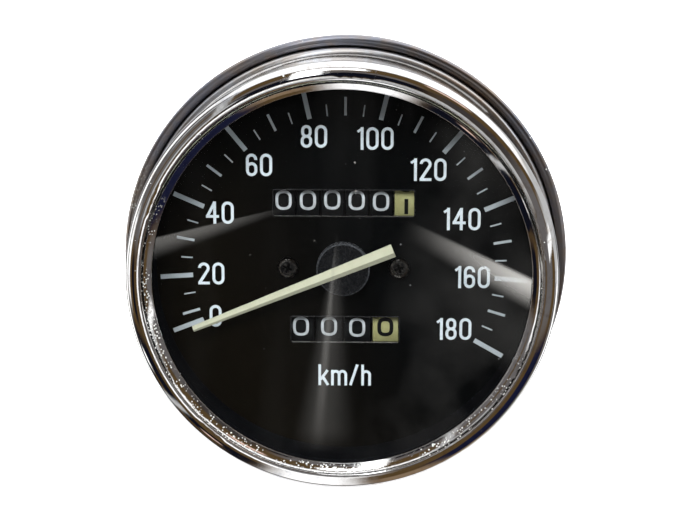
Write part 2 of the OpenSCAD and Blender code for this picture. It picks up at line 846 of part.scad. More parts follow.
module drive_magnet() {
    color([0.3, 0.3, 0.32]) upright() disc(-24.8, -19.6, 11.8, spindle_r);
}

// Cross shaft, one piece with its middle gear and the two worms that drive the risers
module cross_shaft() {
    worm_l = 5.2;
    reach = 24.9;
    color([0.85, 0.8, 0.6]) upright() translate([cross_x, 0, level(train_level)]) rotate([-90, 0, 0]) {
        translate([0, 0, -reach]) cylinder(h = 2 * reach, r = shaft_r);
        for (y = [main_riser_y, trip_riser_y])
            translate([0, 0, y - worm_l / 2]) worm(cross_worm_r, worm_l, shaft_r);
        translate([0, 0, -gear_w / 2]) toothed(cross_gear_r, gear_w, gear_teeth, shaft_r - eps);
    }
}

// Upright shaft, one piece with its gear and worm, that takes the drive forward to a counter
module riser(y) {
    worm_l = 4.8;
    translate([riser_x, y, 0]) {
        disc(bridge_back, front_plate_top - 0.2, shaft_r);
        translate([0, 0, level(axle_level - worm_l / 2)]) worm(riser_worm_r, worm_l, shaft_r);
        translate([0, 0, level(train_level - gear_w / 2)])
            toothed(riser_gear_r, gear_w, gear_teeth, shaft_r - eps);
    }
}

module main_riser() color([0.85, 0.8, 0.6]) upright() riser(main_riser_y);
module trip_riser() color([0.85, 0.8, 0.6]) upright() riser(trip_riser_y);

module main_axle() {
    x0 = left_cheek_x - 0.4;
    color([0.75, 0.75, 0.77]) upright()
        along_x(x0, main_y, axle_level) cylinder(h = riser_x + 1.6 - x0, r = axle_r);
}

module main_drive_gear() {
    color([0.85, 0.8, 0.6]) upright()
        along_x(riser_x - gear_w / 2, main_y, axle_level)
            toothed(counter_gear_r, gear_w, gear_teeth, axle_r);
}

// A number drum: smooth rim, and the teeth that its pinion meets on one side
module drum(x, y, w, bore_r) {
    side_w = 0.25;
    along_x(x - w / 2, y, axle_level) difference() {
        union() {
            cylinder(h = w - side_w, r = drum_r);
            translate([0, 0, w - side_w - eps]) toothed(drum_r - 0.9, side_w + eps, gear_teeth, bore_r);
        }
        translate([0, 0, -eps]) cylinder(h = w + 2 * eps, r = bore_r);
    }
}

module main_drum(n) {
    tint = n == 1 ? [0.66, 0.6, 0.33] : [0.06, 0.06, 0.06];
    color(tint) upright()
        drum(main_first_x - (n - 1) * main_pitch, main_y, main_drum_w, axle_r + (n == 1 ? 0 : fit));
}

module trip_drum(n) {
    tint = n == 1 ? [0.66, 0.6, 0.33] : [0.06, 0.06, 0.06];
    color(tint) upright() drum(trip_first_x - (n - 1) * trip_pitch, trip_y, trip_drum_w, axle_r + fit);
}

// A pinion that carries from drum n to the next one
module pinion(n, first_x, pitch, y) {
    w = 1.6;
    along_x(first_x - (n - 0.5) * pitch - w / 2, y, pinion_level)
        toothed(pinion_r, w, 6, pinion_axle_r + fit);
}

module main_pinion(n) {
    color([0.9, 0.9, 0.86]) upright() pinion(n, main_first_x, main_pitch, main_y + pinion_out);
}

module trip_pinion(n) {
    color([0.9, 0.9, 0.86]) upright() pinion(n, trip_first_x, trip_pitch, trip_y - pinion_out);
}

// Axle of the trip counter, one piece with the gear that the reset shaft turns
module trip_axle() {
    w = 1.6;
    x0 = reset_x - w / 2 - 0.6;
    color([0.75, 0.75, 0.77]) upright() {
        along_x(x0, trip_y, axle_level) cylinder(h = riser_x + 1.6 - x0, r = axle_r);
        along_x(reset_x - w / 2, trip_y, axle_level) toothed(reset_gear_r, w, 12, axle_r - eps);
    }
}

// Gear on a sleeve that drives the first drum of the trip counter round its axle
module trip_drive_gear() {
    sleeve_x = trip_first_x + trip_drum_w / 2;
    color([0.85, 0.8, 0.6]) upright() {
        along_x(riser_x - gear_w / 2, trip_y, axle_level)
            toothed(counter_gear_r, gear_w, gear_teeth, axle_r + fit);
        along_x(sleeve_x, trip_y, axle_level) difference() {
            cylinder(h = riser_x - sleeve_x, r = sleeve_r);
            translate([0, 0, -eps]) cylinder(h = riser_x - sleeve_x + 2 * eps, r = axle_r + fit);
        }
    }
}

// Reset shaft: thin front pivot, short worm, and a stouter rear part that leaves the case
module reset_shaft() {
    worm_l = 4.8;
    rear = -dial_z - 13;
    color([0.72, 0.72, 0.74]) upright() translate([reset_x, trip_riser_y, 0]) {
        disc(rear_plate_top + 3, front_plate_top - 0.2, shaft_r);
        disc(rear, rear_plate_top + 3, reset_shaft_r);
        translate([0, 0, level(axle_level - worm_l / 2)]) worm(reset_worm_r, worm_l, shaft_r);
    }
}

// Knurled knob on the end of the reset shaft
module reset_knob() {
    ribs = 24;
    rib_r = 0.45;
    color([0.08, 0.08, 0.08]) upright() translate([reset_x, trip_riser_y, 0]) difference() {
        union() {
            disc(-dial_z - 15, -dial_z - 6, knob_r);
            disc(-dial_z - 6, -dial_z - 4.5, knob_r - 1.5);
        }
        drill(0, 0, -dial_z - 13, -dial_z - 4.5, reset_shaft_r);
        for (i = [0 : ribs - 1])
            rotate([0, 0, 360 * i / ribs]) drill(knob_r + rib_r / 3, 0, -dial_z - 15, -dial_z - 6, rib_r);
    }
}

bezel_ring();
glass_lens();
lens_gasket();
recess_shroud();
instrument_can();
case_cup();
rim_seal();
damper_washers();
mounting_studs();
cable_union();
spindle_bushes();
lamp_holders();
lamp_bulbs();
lamp_terminals();
dial_plate();
dial_markings();
dial_screws();
front_plate();
rear_plate();
gear_bridge();
plate_pillars();
plate_screws();
counter_cheeks();
needle_bearing();
flux_ring();
hairspring();
pinion_axles();
needle();
needle_hub();
needle_spindle();
drag_cup();
input_spindle();
drive_magnet();
cross_shaft();
main_riser();
trip_riser();
main_axle();
main_drive_gear();
main_drum(1);  // main_drum_1
main_drum(2);  // main_drum_2
main_drum(3);  // main_drum_3
main_drum(4);  // main_drum_4
main_drum(5);  // main_drum_5
main_drum(6);  // main_drum_6
main_pinion(1);  // main_pinion_1
main_pinion(2);  // main_pinion_2
main_pinion(3);  // main_pinion_3
main_pinion(4);  // main_pinion_4
main_pinion(5);  // main_pinion_5
trip_axle();
trip_drive_gear();
trip_drum(1);  // trip_drum_1
trip_drum(2);  // trip_drum_2
trip_drum(3);  // trip_drum_3
trip_drum(4);  // trip_drum_4
trip_pinion(1);  // trip_pinion_1
trip_pinion(2);  // trip_pinion_2
trip_pinion(3);  // trip_pinion_3
reset_shaft();
reset_knob();
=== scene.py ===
# %% [markdown]
# # A mechanical motorcycle speedometer
# The instrument comes from the CAD as a set of separate solids in one shared frame. This lesson
# gives each of them a finish, adds what is too fine for the CAD (printed digits, threads, window
# lips, dust, and glare painted on the glass), and sets up a studio. We start by loading the frame
# and keeping its size, so that nothing we add can make the object grow.

# %% Load the frame
import json
import math
import bmesh
import bpy
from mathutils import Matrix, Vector


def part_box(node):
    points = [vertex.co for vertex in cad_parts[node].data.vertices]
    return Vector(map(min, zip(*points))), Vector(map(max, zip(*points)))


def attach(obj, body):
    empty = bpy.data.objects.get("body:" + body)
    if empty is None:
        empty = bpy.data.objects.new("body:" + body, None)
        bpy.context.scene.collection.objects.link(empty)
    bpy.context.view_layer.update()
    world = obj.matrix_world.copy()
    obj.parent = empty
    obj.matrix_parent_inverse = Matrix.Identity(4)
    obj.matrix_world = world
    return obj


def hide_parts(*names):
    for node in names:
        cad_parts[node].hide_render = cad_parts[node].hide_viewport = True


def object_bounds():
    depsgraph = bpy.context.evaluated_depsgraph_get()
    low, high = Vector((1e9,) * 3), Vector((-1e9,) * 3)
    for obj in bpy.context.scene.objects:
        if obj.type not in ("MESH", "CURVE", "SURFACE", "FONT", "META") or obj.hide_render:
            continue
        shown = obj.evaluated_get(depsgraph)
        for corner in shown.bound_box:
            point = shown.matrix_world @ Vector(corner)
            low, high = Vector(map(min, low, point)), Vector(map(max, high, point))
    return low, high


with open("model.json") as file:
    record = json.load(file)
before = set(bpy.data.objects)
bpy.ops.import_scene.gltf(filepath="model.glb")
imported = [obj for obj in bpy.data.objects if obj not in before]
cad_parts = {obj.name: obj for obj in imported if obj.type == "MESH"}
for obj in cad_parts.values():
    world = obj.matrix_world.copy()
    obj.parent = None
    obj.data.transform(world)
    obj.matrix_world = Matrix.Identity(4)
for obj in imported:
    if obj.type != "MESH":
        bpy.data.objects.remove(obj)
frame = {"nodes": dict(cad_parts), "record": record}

MM = 0.001
cad_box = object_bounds()
dial_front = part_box("dial_plate")[0].y
print("CAD size in mm:", [round(v / MM, 1) for v in cad_box[1] - cad_box[0]])
print("dial face at y =", round(dial_front / MM, 2), "mm")

# %% [markdown]
# ## The camera
# The photograph looks down on the dial by about eleven degrees and a touch from the right. A
# camera is set up from an angle, a distance and a focal length: the distance decides how much
# the near rim grows against the far one, so it is matched before the focal length is.

# %% Camera
AZIMUTH = math.radians(1.64)
ELEVATION = math.radians(10.89)
CAMERA_DISTANCE = 300 * MM
IMAGE_WIDTH = 693
FOCAL_PIXELS = 1560
SHIFT_RIGHT_PIXELS = 3.0
SHIFT_UP_PIXELS = 6.6
SENSOR_WIDTH_MM = 36
NEAREST = 10 * MM
FARTHEST = 50.0

dial_centre = Vector((0, dial_front, 0))
to_camera = Vector((math.sin(AZIMUTH) * math.cos(ELEVATION),
                    -math.cos(AZIMUTH) * math.cos(ELEVATION),
                    math.sin(ELEVATION)))
camera = bpy.data.objects.new("camera", bpy.data.cameras.new("camera"))
bpy.context.collection.objects.link(camera)
camera.location = dial_centre + to_camera * CAMERA_DISTANCE
camera.rotation_mode = "QUATERNION"
camera.rotation_quaternion = (-to_camera).to_track_quat("-Z", "Y")
camera.data.sensor_width = SENSOR_WIDTH_MM
camera.data.lens = FOCAL_PIXELS * SENSOR_WIDTH_MM / IMAGE_WIDTH
camera.data.shift_x = SHIFT_RIGHT_PIXELS / IMAGE_WIDTH
camera.data.shift_y = SHIFT_UP_PIXELS / IMAGE_WIDTH
camera.data.clip_start = NEAREST
camera.data.clip_end = FARTHEST
bpy.context.scene.camera = camera
print("focal length", round(camera.data.lens, 1), "mm")

# %% [markdown]
# ## The studio
# The object stands on a plain pale light table, which glows a little, so that it has no dark
# shadow under it. Chrome shows nothing but its surroundings, and a white room would make it look
# like white plastic. The table therefore lights nothing else, and the chrome sees a painted room
# with pale and dark places all round, also below the horizon.

# %% Colour handling and floor
scene = bpy.context.scene
scene.view_settings.view_transform = "Standard"
scene.view_settings.look = "None"


def new_object(name, mesh):
    piece = bpy.data.objects.new(name, mesh)
    bpy.context.collection.objects.link(piece)
    return piece


def mesh_from(name, points, faces):
    mesh = bpy.data.meshes.new(name)
    mesh.from_pydata([tuple(p) for p in points], [], faces)
    mesh.update()
    return mesh


def square(half):
    return [(-half, -half), (half, -half), (half, half), (-half, half)]


FLOOR_HALF = 12.0
FLOOR_GLOW = 1.0
FLOOR_GREY = 0.93
FLOOR_ROUGHNESS = 0.9
FLOOR_GAP = 0.1 * MM
floor_level = cad_box[0].z - FLOOR_GAP
floor_points = [(x, y, floor_level) for x, y in square(FLOOR_HALF)]
floor = new_object("studio_floor", mesh_from("studio_floor", floor_points, [(0, 1, 2, 3)]))
floor.visible_glossy = False
floor.visible_diffuse = False
floor_material = bpy.data.materials.new("studio_floor")
floor_material.use_nodes = True
floor_shader = floor_material.node_tree.nodes["Principled BSDF"]
floor_shader.inputs["Base Color"].default_value = (FLOOR_GREY, FLOOR_GREY, FLOOR_GREY, 1)
floor_shader.inputs["Roughness"].default_value = FLOOR_ROUGHNESS
floor_shader.inputs["Specular IOR Level"].default_value = 0.0
floor_shader.inputs["Emission Color"].default_value = (1, 1, 1, 1)
floor_shader.inputs["Emission Strength"].default_value = FLOOR_GLOW
floor.data.materials.append(floor_material)
print("floor at z =", round(floor_level / MM, 2), "mm")

# %% [markdown]
# The floor ends at the horizon, and above it a low camera would look into the painted room. Four
# white walls close the view. The camera's range in other views is only a few metres, so the
# walls stand closer than the floor's edge. They cast no shadow and no mirror sees them.

# %% Walls
WALL_DISTANCE = 4.0
WALL_TOP = 5.0
wall_points = [(x, y, z) for z in (floor_level, WALL_TOP) for x, y in square(WALL_DISTANCE)]
wall_faces = [(k, (k + 1) % 4, (k + 1) % 4 + 4, k + 4) for k in range(4)]
wall = new_object("studio_wall", mesh_from("studio_wall", wall_points, wall_faces))
wall.visible_glossy = False
wall.visible_diffuse = False
wall.visible_shadow = False
wall.data.materials.append(floor_material)
print("walls", WALL_DISTANCE, "m away and", WALL_TOP, "m high")

# %% [markdown]
# The room is a procedural world. A direction goes in and a colour comes out. The chrome rims are
# round, so it helps to measure directions in the same way: the spread is the angle away from the
# line along which a flat face, parallel to the dial, would mirror the camera, and the turn is the
# way round that line, from 0 on the right over 90 at the top. Chrome that leans outwards by an
# angle at some place of the rim shows the room at the same turn and twice that angle of spread.

# %% Turn and spread
world = bpy.data.worlds.new("studio_room")
scene.world = world
world.use_nodes = True
room = world.node_tree
DEGREES = 180 / math.pi


def room_math(operation, a, b=None, c=None):
    node = room.nodes.new("ShaderNodeMath")
    node.operation = operation
    for value, socket in zip((a, b, c), node.inputs):
        if isinstance(value, (int, float)):
            socket.default_value = value
        elif value is not None:
            room.links.new(value, socket)
    return node.outputs[0]


direction = room.nodes.new("ShaderNodeTexCoord").outputs["Generated"]


def along(axis):
    node = room.nodes.new("ShaderNodeVectorMath")
    node.operation = "DOT_PRODUCT"
    node.inputs[1].default_value = axis
    room.links.new(direction, node.inputs[0])
    return node.outputs["Value"]


line_of_sight = Vector((-to_camera.x, to_camera.y, -to_camera.z))
rightwards = Vector((0, 0, 1)).cross(line_of_sight).normalized()
upwards = line_of_sight.cross(rightwards)
spread = room_math("MULTIPLY", room_math("ARCCOSINE", along(line_of_sight)), DEGREES)
turn = room_math("MULTIPLY", room_math("ARCTAN2", along(upwards), along(rightwards)), DEGREES)
turn = room_math("WRAP", turn, 360, 0)
print("line of sight mirrored in the dial:", [round(v, 3) for v in line_of_sight])

# %% [markdown]
# The room could be a picture, but then its shapes would be fixed. Here it is a list of soft-edged
# patches, painted one over the other from the first to the last, each between two turns and two
# spreads. The names say what such a patch could be in a room. Moving an entry moves one
# reflection, so the list was tuned reflection by reflection.


# %% Patches of the room
def edge(value, low, high):
    """0 below low, 1 above high, and a smooth step between them; low may be the larger."""
    step = room.nodes.new("ShaderNodeMapRange")
    step.interpolation_type = "SMOOTHSTEP"
    step.inputs["From Min"].default_value = min(low, high)
    step.inputs["From Max"].default_value = max(low, high)
    step.inputs["To Min"].default_value = 0.0 if low < high else 1.0
    step.inputs["To Max"].default_value = 1.0 if low < high else 0.0
    room.links.new(value, step.inputs["Value"])
    return step.outputs["Result"]


def window_mask(value, low, high, soft):
    return room_math("MULTIPLY", edge(value, low - soft, low + soft), edge(value, high + soft, high - soft))


def paint(under, mask, colour):
    mix = room.nodes.new("ShaderNodeMix")
    mix.data_type = "RGBA"
    room.links.new(mask, mix.inputs["Factor"])
    if isinstance(under, tuple):
        mix.inputs["A"].default_value = (*under, 1)
    else:
        room.links.new(under, mix.inputs["A"])
    mix.inputs["B"].default_value = (*colour, 1)
    return mix.outputs["Result"]


WHITE = (1.45, 1.46, 1.48)
WINDOW = (4.0, 4.1, 4.2)
SILVER = (0.60, 0.61, 0.62)
GREY = (0.15, 0.14, 0.14)
DARK_GREY = (0.055, 0.048, 0.046)
BROWN = (0.105, 0.066, 0.028)
TAN = (0.27, 0.19, 0.12)
ROSE = (1.0, 0.72, 0.60)
NAVY = (0.010, 0.012, 0.035)
BLACK = (0.005, 0.006, 0.012)
ALL_ROUND = (-20, 380)
PATCHES = [
    # what it is, turn from and to, spread from and to, softness of each, colour
    ("back of the room", ALL_ROUND, (92, 200), 1, 4, SILVER),
    ("lit wall behind", (22, 134), (92, 200), 5, 4, WHITE),
    ("dark doorway behind", (136, 345), (94, 106), 4, 2, DARK_GREY),
    ("light in the doorway", (136, 345), (106, 128), 4, 2, WHITE),
    ("dark skirting", (136, 345), (128, 145), 4, 3, DARK_GREY),
    ("shade on the right", (8, 62), (24, 60), 5, 6, DARK_GREY),
    ("wall on the right", (-20, 30), (24, 66), 8, 5, GREY),
    ("wall on the right", (340, 380), (24, 66), 8, 5, GREY),
    ("pale wall on the right", (-20, 14), (72, 96), 6, 5, SILVER),
    ("dark ceiling", (64, 128), (26, 50), 5, 4, BLACK),
    ("beam", (68, 125), (50, 60), 5, 2, GREY),
    ("window", (84, 104), (70, 84), 2, 2, WINDOW),
    ("window", (97, 105), (40, 84), 1.5, 2, WINDOW),
    ("small window", (50, 64), (77, 86), 2, 1.5, ROSE),
    ("wall on the left", (126, 176), (34, 100), 4, 3, GREY),
    ("rail on the left", (122, 168), (36, 44), 4, 2, SILVER),
    ("rail on the left", (122, 150), (86, 92), 4, 1.5, SILVER),
    ("shelf on the left", (124, 170), (60, 68), 5, 3, BROWN),
    ("door frame", (126, 131), (44, 90), 1.5, 4, SILVER),
    ("pale wall on the left", (172, 196), (80, 98), 4, 4, WHITE),
    ("shade on the left", (178, 198), (44, 62), 4, 3, BLACK),
    ("pale strip of the floor", (252, 272), (20, 90), 6, 6, WHITE),
    ("floor in front", (276, 305), (56, 100), 5, 4, TAN),
    ("blue cloth", (292, 336), (40, 86), 5, 3, NAVY),
    ("dark cupboard", (202, 248), (42, 98), 4, 4, BLACK),
    ("brown drawer", (214, 240), (74, 88), 3, 3, BROWN),
    ("cupboard's frame", (221, 225), (44, 94), 1.5, 3, SILVER),
    ("knob of the cupboard", (209, 214), (78, 90), 1.5, 1.5, WHITE),
    ("knob of the cupboard", (232, 237), (58, 66), 1.5, 1.5, ROSE),
    ("lath on the right", (1, 6), (46, 90), 1.5, 3, WHITE),
    ("card round the lens", ALL_ROUND, (-20, 18), 1, 2, GREY),
    ("card round the lens", (20, 130), (-20, 18), 10, 2, SILVER),
    ("card round the lens", (150, 250), (-20, 18), 10, 2, DARK_GREY),
    ("lens and its shade", ALL_ROUND, (-20, 9), 1, 2, BLACK),
    ("rim of the card", (20, 95), (18.5, 23.5), 8, 1.5, SILVER),
    ("rim of the card", (95, 275), (18.5, 23.5), 12, 1.5, WHITE),
]
colour = BROWN
for _, turns, spreads, soft_turn, soft_spread, tint in PATCHES:
    sector = window_mask(turn, *turns, soft_turn)
    ring = window_mask(spread, *spreads, soft_spread)
    colour = paint(colour, room_math("MULTIPLY", sector, ring), tint)
room.links.new(colour, room.nodes["Background"].inputs["Color"])
room.nodes["Background"].inputs["Strength"].default_value = 1.0
print("room painted in", len(PATCHES), "patches")

# %% [markdown]
# Matt surfaces need lamps of their own. One soft lamp stands high in front and lights the print
# through the glass, a weaker one fills from the right, and one hangs overhead for the case. No
# mirror sees them, because the chrome already has its windows in the painted room.


# %% Lamps
def soft_lamp(name, place, size, power, colour=(1, 1, 1)):
    lamp = bpy.data.lights.new(name, "AREA")
    lamp.shape = "RECTANGLE"
    lamp.size, lamp.size_y = size
    lamp.energy = power
    lamp.color = colour
    holder = bpy.data.objects.new(name, lamp)
    bpy.context.collection.objects.link(holder)
    holder.location = place
    holder.rotation_mode = "QUATERNION"
    holder.rotation_quaternion = (dial_centre - Vector(place)).to_track_quat("-Z", "Y")
    holder.visible_glossy = False
    return holder


soft_lamp("key_lamp", (-0.12, -0.85, 0.52), (0.5, 0.35), 10)
soft_lamp("fill_lamp", (0.75, -0.55, 0.25), (0.4, 0.5), 3.0, (0.93, 0.96, 1))
soft_lamp("overhead_lamp", (0.0, 0.15, 1.1), (1.2, 0.9), 10)

# %% [markdown]
# ## Tools for procedural finishes
# Every finish below is a few noise patterns that steer colour, roughness and bump. Building nodes
# line by line would hide that, so a small class does it: it starts a material, makes masks (from
# noise, from cells, from a direction), multiplies them, blends two colours by a mask, and turns
# a mask into roughness or bumps. All patterns are placed by object coordinates, in metres, so a
# scale of 1000 gives features of about a millimetre.


# %% Helpers for materials
class Finish:
    """A material with its node tree, its shader and its object coordinates."""

    def __init__(self, name, colour, roughness, metallic=0.0):
        self.material = bpy.data.materials.new(name)
        self.material.use_nodes = True
        self.tree = self.material.node_tree
        self.shader = self.tree.nodes["Principled BSDF"]
        self.shader.inputs["Base Color"].default_value = (*colour, 1)
        self.shader.inputs["Roughness"].default_value = roughness
        self.shader.inputs["Metallic"].default_value = metallic
        self.place = self.tree.nodes.new("ShaderNodeTexCoord").outputs["Object"]

    def link(self, source, target):
        self.tree.links.new(source, target)

    def stretched(self, scale):
        mapping = self.tree.nodes.new("ShaderNodeMapping")
        mapping.inputs["Scale"].default_value = scale
        self.link(self.place, mapping.inputs["Vector"])
        return mapping.outputs["Vector"]

    def noise(self, scale, low, high, detail=4, place=None):
        texture = self.tree.nodes.new("ShaderNodeTexNoise")
        texture.inputs["Scale"].default_value = scale
        texture.inputs["Detail"].default_value = detail
        self.link(place or self.place, texture.inputs["Vector"])
        return self.between(texture.outputs["Fac"], low, high)

    def cells(self, scale, low, high):
        texture = self.tree.nodes.new("ShaderNodeTexVoronoi")
        texture.inputs["Scale"].default_value = scale
        self.link(self.place, texture.inputs["Vector"])
        return self.between(texture.outputs["Distance"], low, high)

    def between(self, value, low, high, to_low=0.0, to_high=1.0):
        spread = self.tree.nodes.new("ShaderNodeMapRange")
        spread.inputs["From Min"].default_value = low
        spread.inputs["From Max"].default_value = high
        spread.inputs["To Min"].default_value = to_low
        spread.inputs["To Max"].default_value = to_high
        self.link(value, spread.inputs["Value"])
        return spread.outputs["Result"]

    def smooth(self, value, low, high):
        """A smooth step: 0 at low and 1 at high, where low may be the larger."""
        step = self.tree.nodes.new("ShaderNodeMapRange")
        step.interpolation_type = "SMOOTHSTEP"
        step.inputs["From Min"].default_value = min(low, high)
        step.inputs["From Max"].default_value = max(low, high)
        step.inputs["To Min"].default_value = 0.0 if low < high else 1.0
        step.inputs["To Max"].default_value = 1.0 if low < high else 0.0
        self.link(value, step.inputs["Value"])
        return step.outputs["Result"]

    def times(self, a, b, operation="MULTIPLY"):
        node = self.tree.nodes.new("ShaderNodeMath")
        node.operation = operation
        for value, socket in ((a, node.inputs[0]), (b, node.inputs[1])):
            if isinstance(value, (int, float)):
                socket.default_value = value
            else:
                self.link(value, socket)
        return node.outputs[0]

    def towards(self, axis, low, high):
        """A mask that grows along a direction in the object, such as towards the top."""
        dot = self.tree.nodes.new("ShaderNodeVectorMath")
        dot.operation = "DOT_PRODUCT"
        dot.inputs[1].default_value = axis
        self.link(self.place, dot.inputs[0])
        return self.between(dot.outputs["Value"], low, high)

    def blend(self, mask, a, b):
        mix = self.tree.nodes.new("ShaderNodeMix")
        mix.data_type = "RGBA"
        self.link(mask, mix.inputs["Factor"])
        for value, socket in ((a, mix.inputs["A"]), (b, mix.inputs["B"])):
            if isinstance(value, tuple):
                socket.default_value = (*value, 1)
            else:
                self.link(value, socket)
        return mix.outputs["Result"]

    def colour(self, source):
        self.link(source, self.shader.inputs["Base Color"])

    def rough(self, mask, low, high):
        self.link(self.between(mask, 0, 1, low, high), self.shader.inputs["Roughness"])

    def bump(self, height, depth, strength=1.0):
        node = self.tree.nodes.new("ShaderNodeBump")
        node.inputs["Strength"].default_value = strength
        node.inputs["Distance"].default_value = depth
        self.link(height, node.inputs["Height"])
        self.link(node.outputs["Normal"], self.shader.inputs["Normal"])


finishes = {}
print("a finish can:", [word for word in vars(Finish) if not word.startswith("_")])

# %% [markdown]
# ## Old chrome
# Chrome plating doesn't rust, but the steel under it does: it lifts the plating in small pits.
# A pit is filled with pale dull corrosion, so it catches the lamps like a grain of chalk. Old
# polish and weather also leave a thin film, in rings round the axis, because the part was spun
# and polished on a lathe. Rings come from a noise whose place is the direction round the axis,
# which has no seam, and the distance from it, which is squeezed hard.

# %% Rings round the axis
RING_SCALE = 26
RING_SQUEEZE = 1500


def ring_parts(finish):
    """The distance from the axis in metres, and a place for noise that runs in rings."""
    flat = finish.tree.nodes.new("ShaderNodeVectorMath")
    flat.operation = "MULTIPLY"
    flat.inputs[1].default_value = (1, 0, 1)
    finish.link(finish.place, flat.inputs[0])
    length = finish.tree.nodes.new("ShaderNodeVectorMath")
    length.operation = "LENGTH"
    finish.link(flat.outputs[0], length.inputs[0])
    radius = length.outputs["Value"]
    around = finish.tree.nodes.new("ShaderNodeVectorMath")
    around.operation = "NORMALIZE"
    finish.link(flat.outputs[0], around.inputs[0])
    axes = finish.tree.nodes.new("ShaderNodeSeparateXYZ")
    finish.link(around.outputs[0], axes.inputs[0])
    depth = finish.tree.nodes.new("ShaderNodeSeparateXYZ")
    finish.link(finish.place, depth.inputs[0])
    place = finish.tree.nodes.new("ShaderNodeCombineXYZ")
    finish.link(finish.times(axes.outputs["X"], RING_SCALE), place.inputs["X"])
    finish.link(finish.times(axes.outputs["Z"], RING_SCALE), place.inputs["Y"])
    profile = finish.times(radius, depth.outputs["Y"], "SUBTRACT")
    finish.link(finish.times(profile, RING_SQUEEZE), place.inputs["Z"])
    return radius, place.outputs[0]


print("a ring of noise is about", round(1 / RING_SQUEEZE / MM, 2), "mm wide")

# %% [markdown]
# The bezel was wiped clean for years and still mirrors sharply. The flange behind it and the case
# could not be reached: there the film is closed, browner here and bluer there, and the mirror
# image is blurred. One mask, which is 1 where the chrome is dull, makes both.

# %% Chrome
CLEAN_CHROME = (0.80, 0.79, 0.78)
BROWN_FILM = (0.42, 0.30, 0.18)
BLUE_FILM = (0.30, 0.33, 0.42)
FLANGE_TINTS = ((0.60, 0.56, 0.52), (0.56, 0.58, 0.62))
CASE_TINTS = ((0.36, 0.31, 0.26), (0.28, 0.29, 0.34))
PIT_COLOUR = (0.74, 0.76, 0.72)
FADE_IN = 0.4 * MM


def old_chrome(name, dull_from, dull_tints, pit_zone):
    finish = Finish(name, CLEAN_CHROME, 0.06, 1.0)
    radius, rings = ring_parts(finish)
    mottle = finish.noise(420, 0.45, 0.62, detail=5)
    lines = finish.noise(1.0, 0.42, 0.62, detail=4, place=rings)
    patches = finish.noise(48, 0.40, 0.60, detail=3)
    film = finish.times(finish.times(mottle, lines), 0.30)
    clean = finish.blend(film, CLEAN_CHROME, finish.blend(patches, BROWN_FILM, BLUE_FILM))
    # Towards the top the dull parts take the second, bluer tint.
    top = finish.towards((0, 0, 1), 30 * MM, 43 * MM)
    dull_colour = finish.blend(finish.times(patches, top, "MAXIMUM"), *dull_tints)
    dull_colour = finish.blend(finish.times(mottle, 0.30), dull_colour, BROWN_FILM)
    dull = finish.smooth(radius, dull_from, dull_from + 0.3 * MM)
    body = finish.blend(dull, clean, dull_colour)
    inner, outer = pit_zone
    in_zone = finish.times(finish.smooth(radius, inner, inner + FADE_IN),
                           finish.smooth(radius, outer, outer - FADE_IN))
    weather = finish.times(finish.towards((-0.4, 0, -1), -14 * MM, 22 * MM), finish.noise(120, 0.36, 0.52))
    pits = finish.times(finish.times(finish.cells(1900, 0.36, 0.22), finish.noise(700, 0.38, 0.44)),
                        finish.times(in_zone, weather))
    lone_pits = finish.times(finish.cells(700, 0.12, 0.08), finish.noise(310, 0.60, 0.64))
    pits = finish.times(pits, lone_pits, "MAXIMUM")
    finish.colour(finish.blend(pits, body, PIT_COLOUR))
    veil = finish.times(finish.times(film, 0.5), finish.times(dull, 0.42), "MAXIMUM")
    finish.rough(finish.times(pits, veil, "MAXIMUM"), 0.05, 0.60)
    finish.link(finish.smooth(pits, 1, 0), finish.shader.inputs["Metallic"])
    finish.bump(finish.times(pits, finish.times(lines, 0.12), "ADD"), -0.00003, 0.4)
    finishes[name] = finish.material


BAND_INNER = 35.1 * MM
BAND_OUTER = 37.0 * MM
FLANGE_FROM = 40.05 * MM
old_chrome("chrome_bezel", FLANGE_FROM, FLANGE_TINTS, (BAND_INNER, BAND_OUTER))
old_chrome("chrome_case", 0.0, CASE_TINTS, (40 * MM, 46 * MM))
print("chrome finishes:", list(finishes))

# %% [markdown]
# ## Painted and printed metal
# The dial, its funnel and the lips of its windows are painted black. A black surface shows its
# finish only by its gloss, so the colour hardly varies and the roughness does, with a few pale
# specks of dust on the dial. The dial's paint is a little browner towards the left.


# %% Black paints
DUST_COLOUR = (0.35, 0.36, 0.37)
FADING_FROM = -5 * MM
FADING_TO = 28 * MM


def black_paint(name, colour, roughness, specular, dust, faded=None):
    finish = Finish(name, colour, roughness)
    finish.shader.inputs["Specular IOR Level"].default_value = specular
    grain = finish.noise(2400, 0.3, 0.7)
    cloud = finish.noise(90, 0.35, 0.65)
    lighter = tuple(c * 1.5 + 0.0005 for c in colour)
    base = finish.blend(finish.times(grain, cloud), colour, lighter)
    if faded:
        base = finish.blend(finish.towards((-1, 0, -0.5), FADING_FROM, FADING_TO), base, faded)
    if dust:
        specks = finish.times(finish.cells(420, 0.10, 0.05), finish.noise(260, 0.60, 0.66))
        base = finish.blend(finish.times(specks, dust), base, DUST_COLOUR)
    finish.colour(base)
    finish.rough(cloud, roughness - 0.08, roughness + 0.12)
    finish.bump(grain, 0.00001, 0.4)
    finishes[name] = finish.material


black_paint("dial_black", (0.0009, 0.0012, 0.0014), 0.55, 0.04, 0.5, faded=(0.0042, 0.0032, 0.0016))
black_paint("shroud_black", (0.004, 0.0044, 0.0055), 0.60, 0.0, 0.0)
black_paint("lip_black", (0.005, 0.0055, 0.0063), 0.26, 0.9, 0.0)
print("black paints:", [name for name in finishes if name.endswith("_black")])
